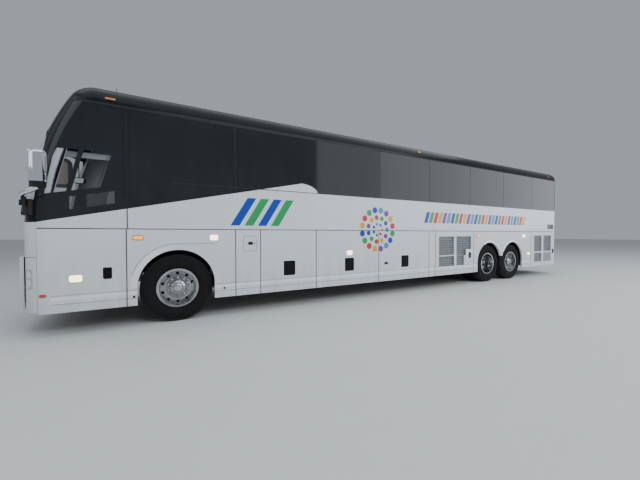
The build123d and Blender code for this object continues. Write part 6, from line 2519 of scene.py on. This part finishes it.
def fitting_finishes() -> dict[str, Finish]:
    """Return the finishes of the pieces that scene.py adds, by their use."""
    return {
        "bezel_black": Finish("bezel_black", (0.014, 0.014, 0.015), 0.42, relief=0.15, shine=0.3),
        "reflector_white": Finish("lamp_white_plastic", (0.72, 0.73, 0.74), 0.30, relief=0.1, tone=0.05),
        "lit_white_lens": Lens("lit_white_lens", (1.0, 0.84, 0.48), 0.10, coat=1.0, relief=0.2, glow=4.0),
        "lit_amber_lens": Lens("lit_amber_lens", (1.0, 0.38, 0.02), 0.10, coat=1.0, relief=0.2, glow=1.4),
        "amber_lens": Lens("amber_lens", (0.62, 0.22, 0.02), 0.10, coat=1.0, relief=0.3),
        "red_reflector": Lens("red_reflector", (0.55, 0.03, 0.02), 0.12, coat=1.0, relief=0.3),
        "louvre_grey": Finish("louvre_grey", (0.24, 0.26, 0.28), 0.45, dust=0.35, grain=300.0, relief=0.15),
        "panel_white": Finish(
            "panel_white", (0.76, 0.79, 0.82), 0.26, coat=0.3, dust=0.3, relief=0.05, tone=0.04
        ),
        # A lighter copy of the body white: painted highlight where the rear arch lips catch the light.
        "lip_white": Finish(
            "arch_lip_white", (0.93, 0.95, 0.97), 0.24, coat=0.4, dust=0.25, relief=0.05, tone=0.04
        ),
        "mirror_chrome": Finish(
            "mirror_chrome", (0.84, 0.86, 0.88), 0.06, metallic=1.0, grain=60.0, relief=0.03
        ),
        "plate_enamel": Finish("plate_enamel", (0.78, 0.79, 0.80), 0.30, coat=0.5, dust=0.3, tone=0.06),
        "plate_steel": Finish("screw_steel", (0.62, 0.62, 0.63), 0.28, metallic=1.0, grain=900.0),
        "mirror_glass": Finish("mirror_glass", (0.90, 0.91, 0.92), 0.02, metallic=1.0, relief=0.0, tone=0.02),
        "seat_steel": Finish(
            "seat_frame_grey", (0.16, 0.16, 0.17), 0.45, metallic=0.4, grain=500.0, relief=0.15
        ),
        "blind_grey": Finish("blind_grey", (0.36, 0.38, 0.40), 0.8, grain=700.0, relief=0.4, tone=0.10),
        "visor_beige": Finish("visor_beige", (0.58, 0.52, 0.42), 0.7, grain=900.0, relief=0.4, tone=0.10),
    }


def dress(frame: dict, by_slot: Finishes, by_node: Finishes) -> None:
    """Give each CAD node its finish.

    Args:
        by_slot: material by the record's slot name.
        by_node: material of the nodes that have one of their own.
    """
    for part in frame["record"]["subparts"]:
        name, slot = part["node"], part["material_slot"]
        for holder in frame["nodes"][name].material_slots:
            holder.material = by_node.get(name, by_slot[slot])
        log.info("%s dressed in %s", name, slot)


def wheel_finishes(effects: SharedEffects) -> Finishes:
    """Make the turned metal of each wheel, with its rings round its own axle."""
    made = {}
    for wheel in ("front_wheel", "drive_wheels", "tag_wheel"):
        low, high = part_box(f"{wheel}_left")
        finish = TurnedMetal(
            f"{wheel}_aluminium", (0.46, 0.47, 0.49), 0.13, metallic=1.0, relief=0.06,
            axle_x=(low[0] + high[0]) / 2, dark_centre=0.070 if wheel != "drive_wheels" else 0.0,
        )
        material = finish.build(effects)
        for side in Side:
            made[f"{wheel}_{side.word}"] = material
    return made


def main() -> None:
    """Build the coach's looks in order."""
    logging.basicConfig(level=logging.INFO, format="%(name)s: %(message)s")
    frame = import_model()
    Bench.clear()
    effects = SharedEffects()
    Studio().build(effects)
    by_slot = {slot: finish.build(effects) for slot, finish in slot_finishes().items()}
    screen = CoachGlass(
        "windscreen_glass", (0.012, 0.016, 0.019), 0.04, windscreen=True, clear=0.06, shine=0.10
    )
    by_node = {"windscreen": screen.build(effects), **wheel_finishes(effects)}
    dress(frame, by_slot, by_node)
    made = {name: finish.build(effects) for name, finish in fitting_finishes().items()}
    made["seat_cloth"] = by_slot["seat_fabric"]
    seat = WallSeat(frame)
    RunningGear().build(effects)
    SideLamps(seat).build(made)
    RoofFittings(seat).build(made)
    Screws(seat).build(made["bezel_black"])
    BumperGrille().build(made["bezel_black"])
    BlankPlate().build(seat, made["plate_enamel"], made["plate_steel"])
    Wipers().build(seat, made["bezel_black"])
    LouvreScreens().build(made["louvre_grey"])
    GrilleBar().build(made["panel_white"], made["louvre_grey"])
    DoorPull().build(made["panel_white"], made["bezel_black"])
    ArchLips().build(made["lip_white"])
    OutsideMirror().build(made)
    MirrorFaces().build(made["mirror_glass"], made["bezel_black"])
    CoachSeats().build(made)
    DriverPlace().build(made)


if __name__ == "__main__":
    main()
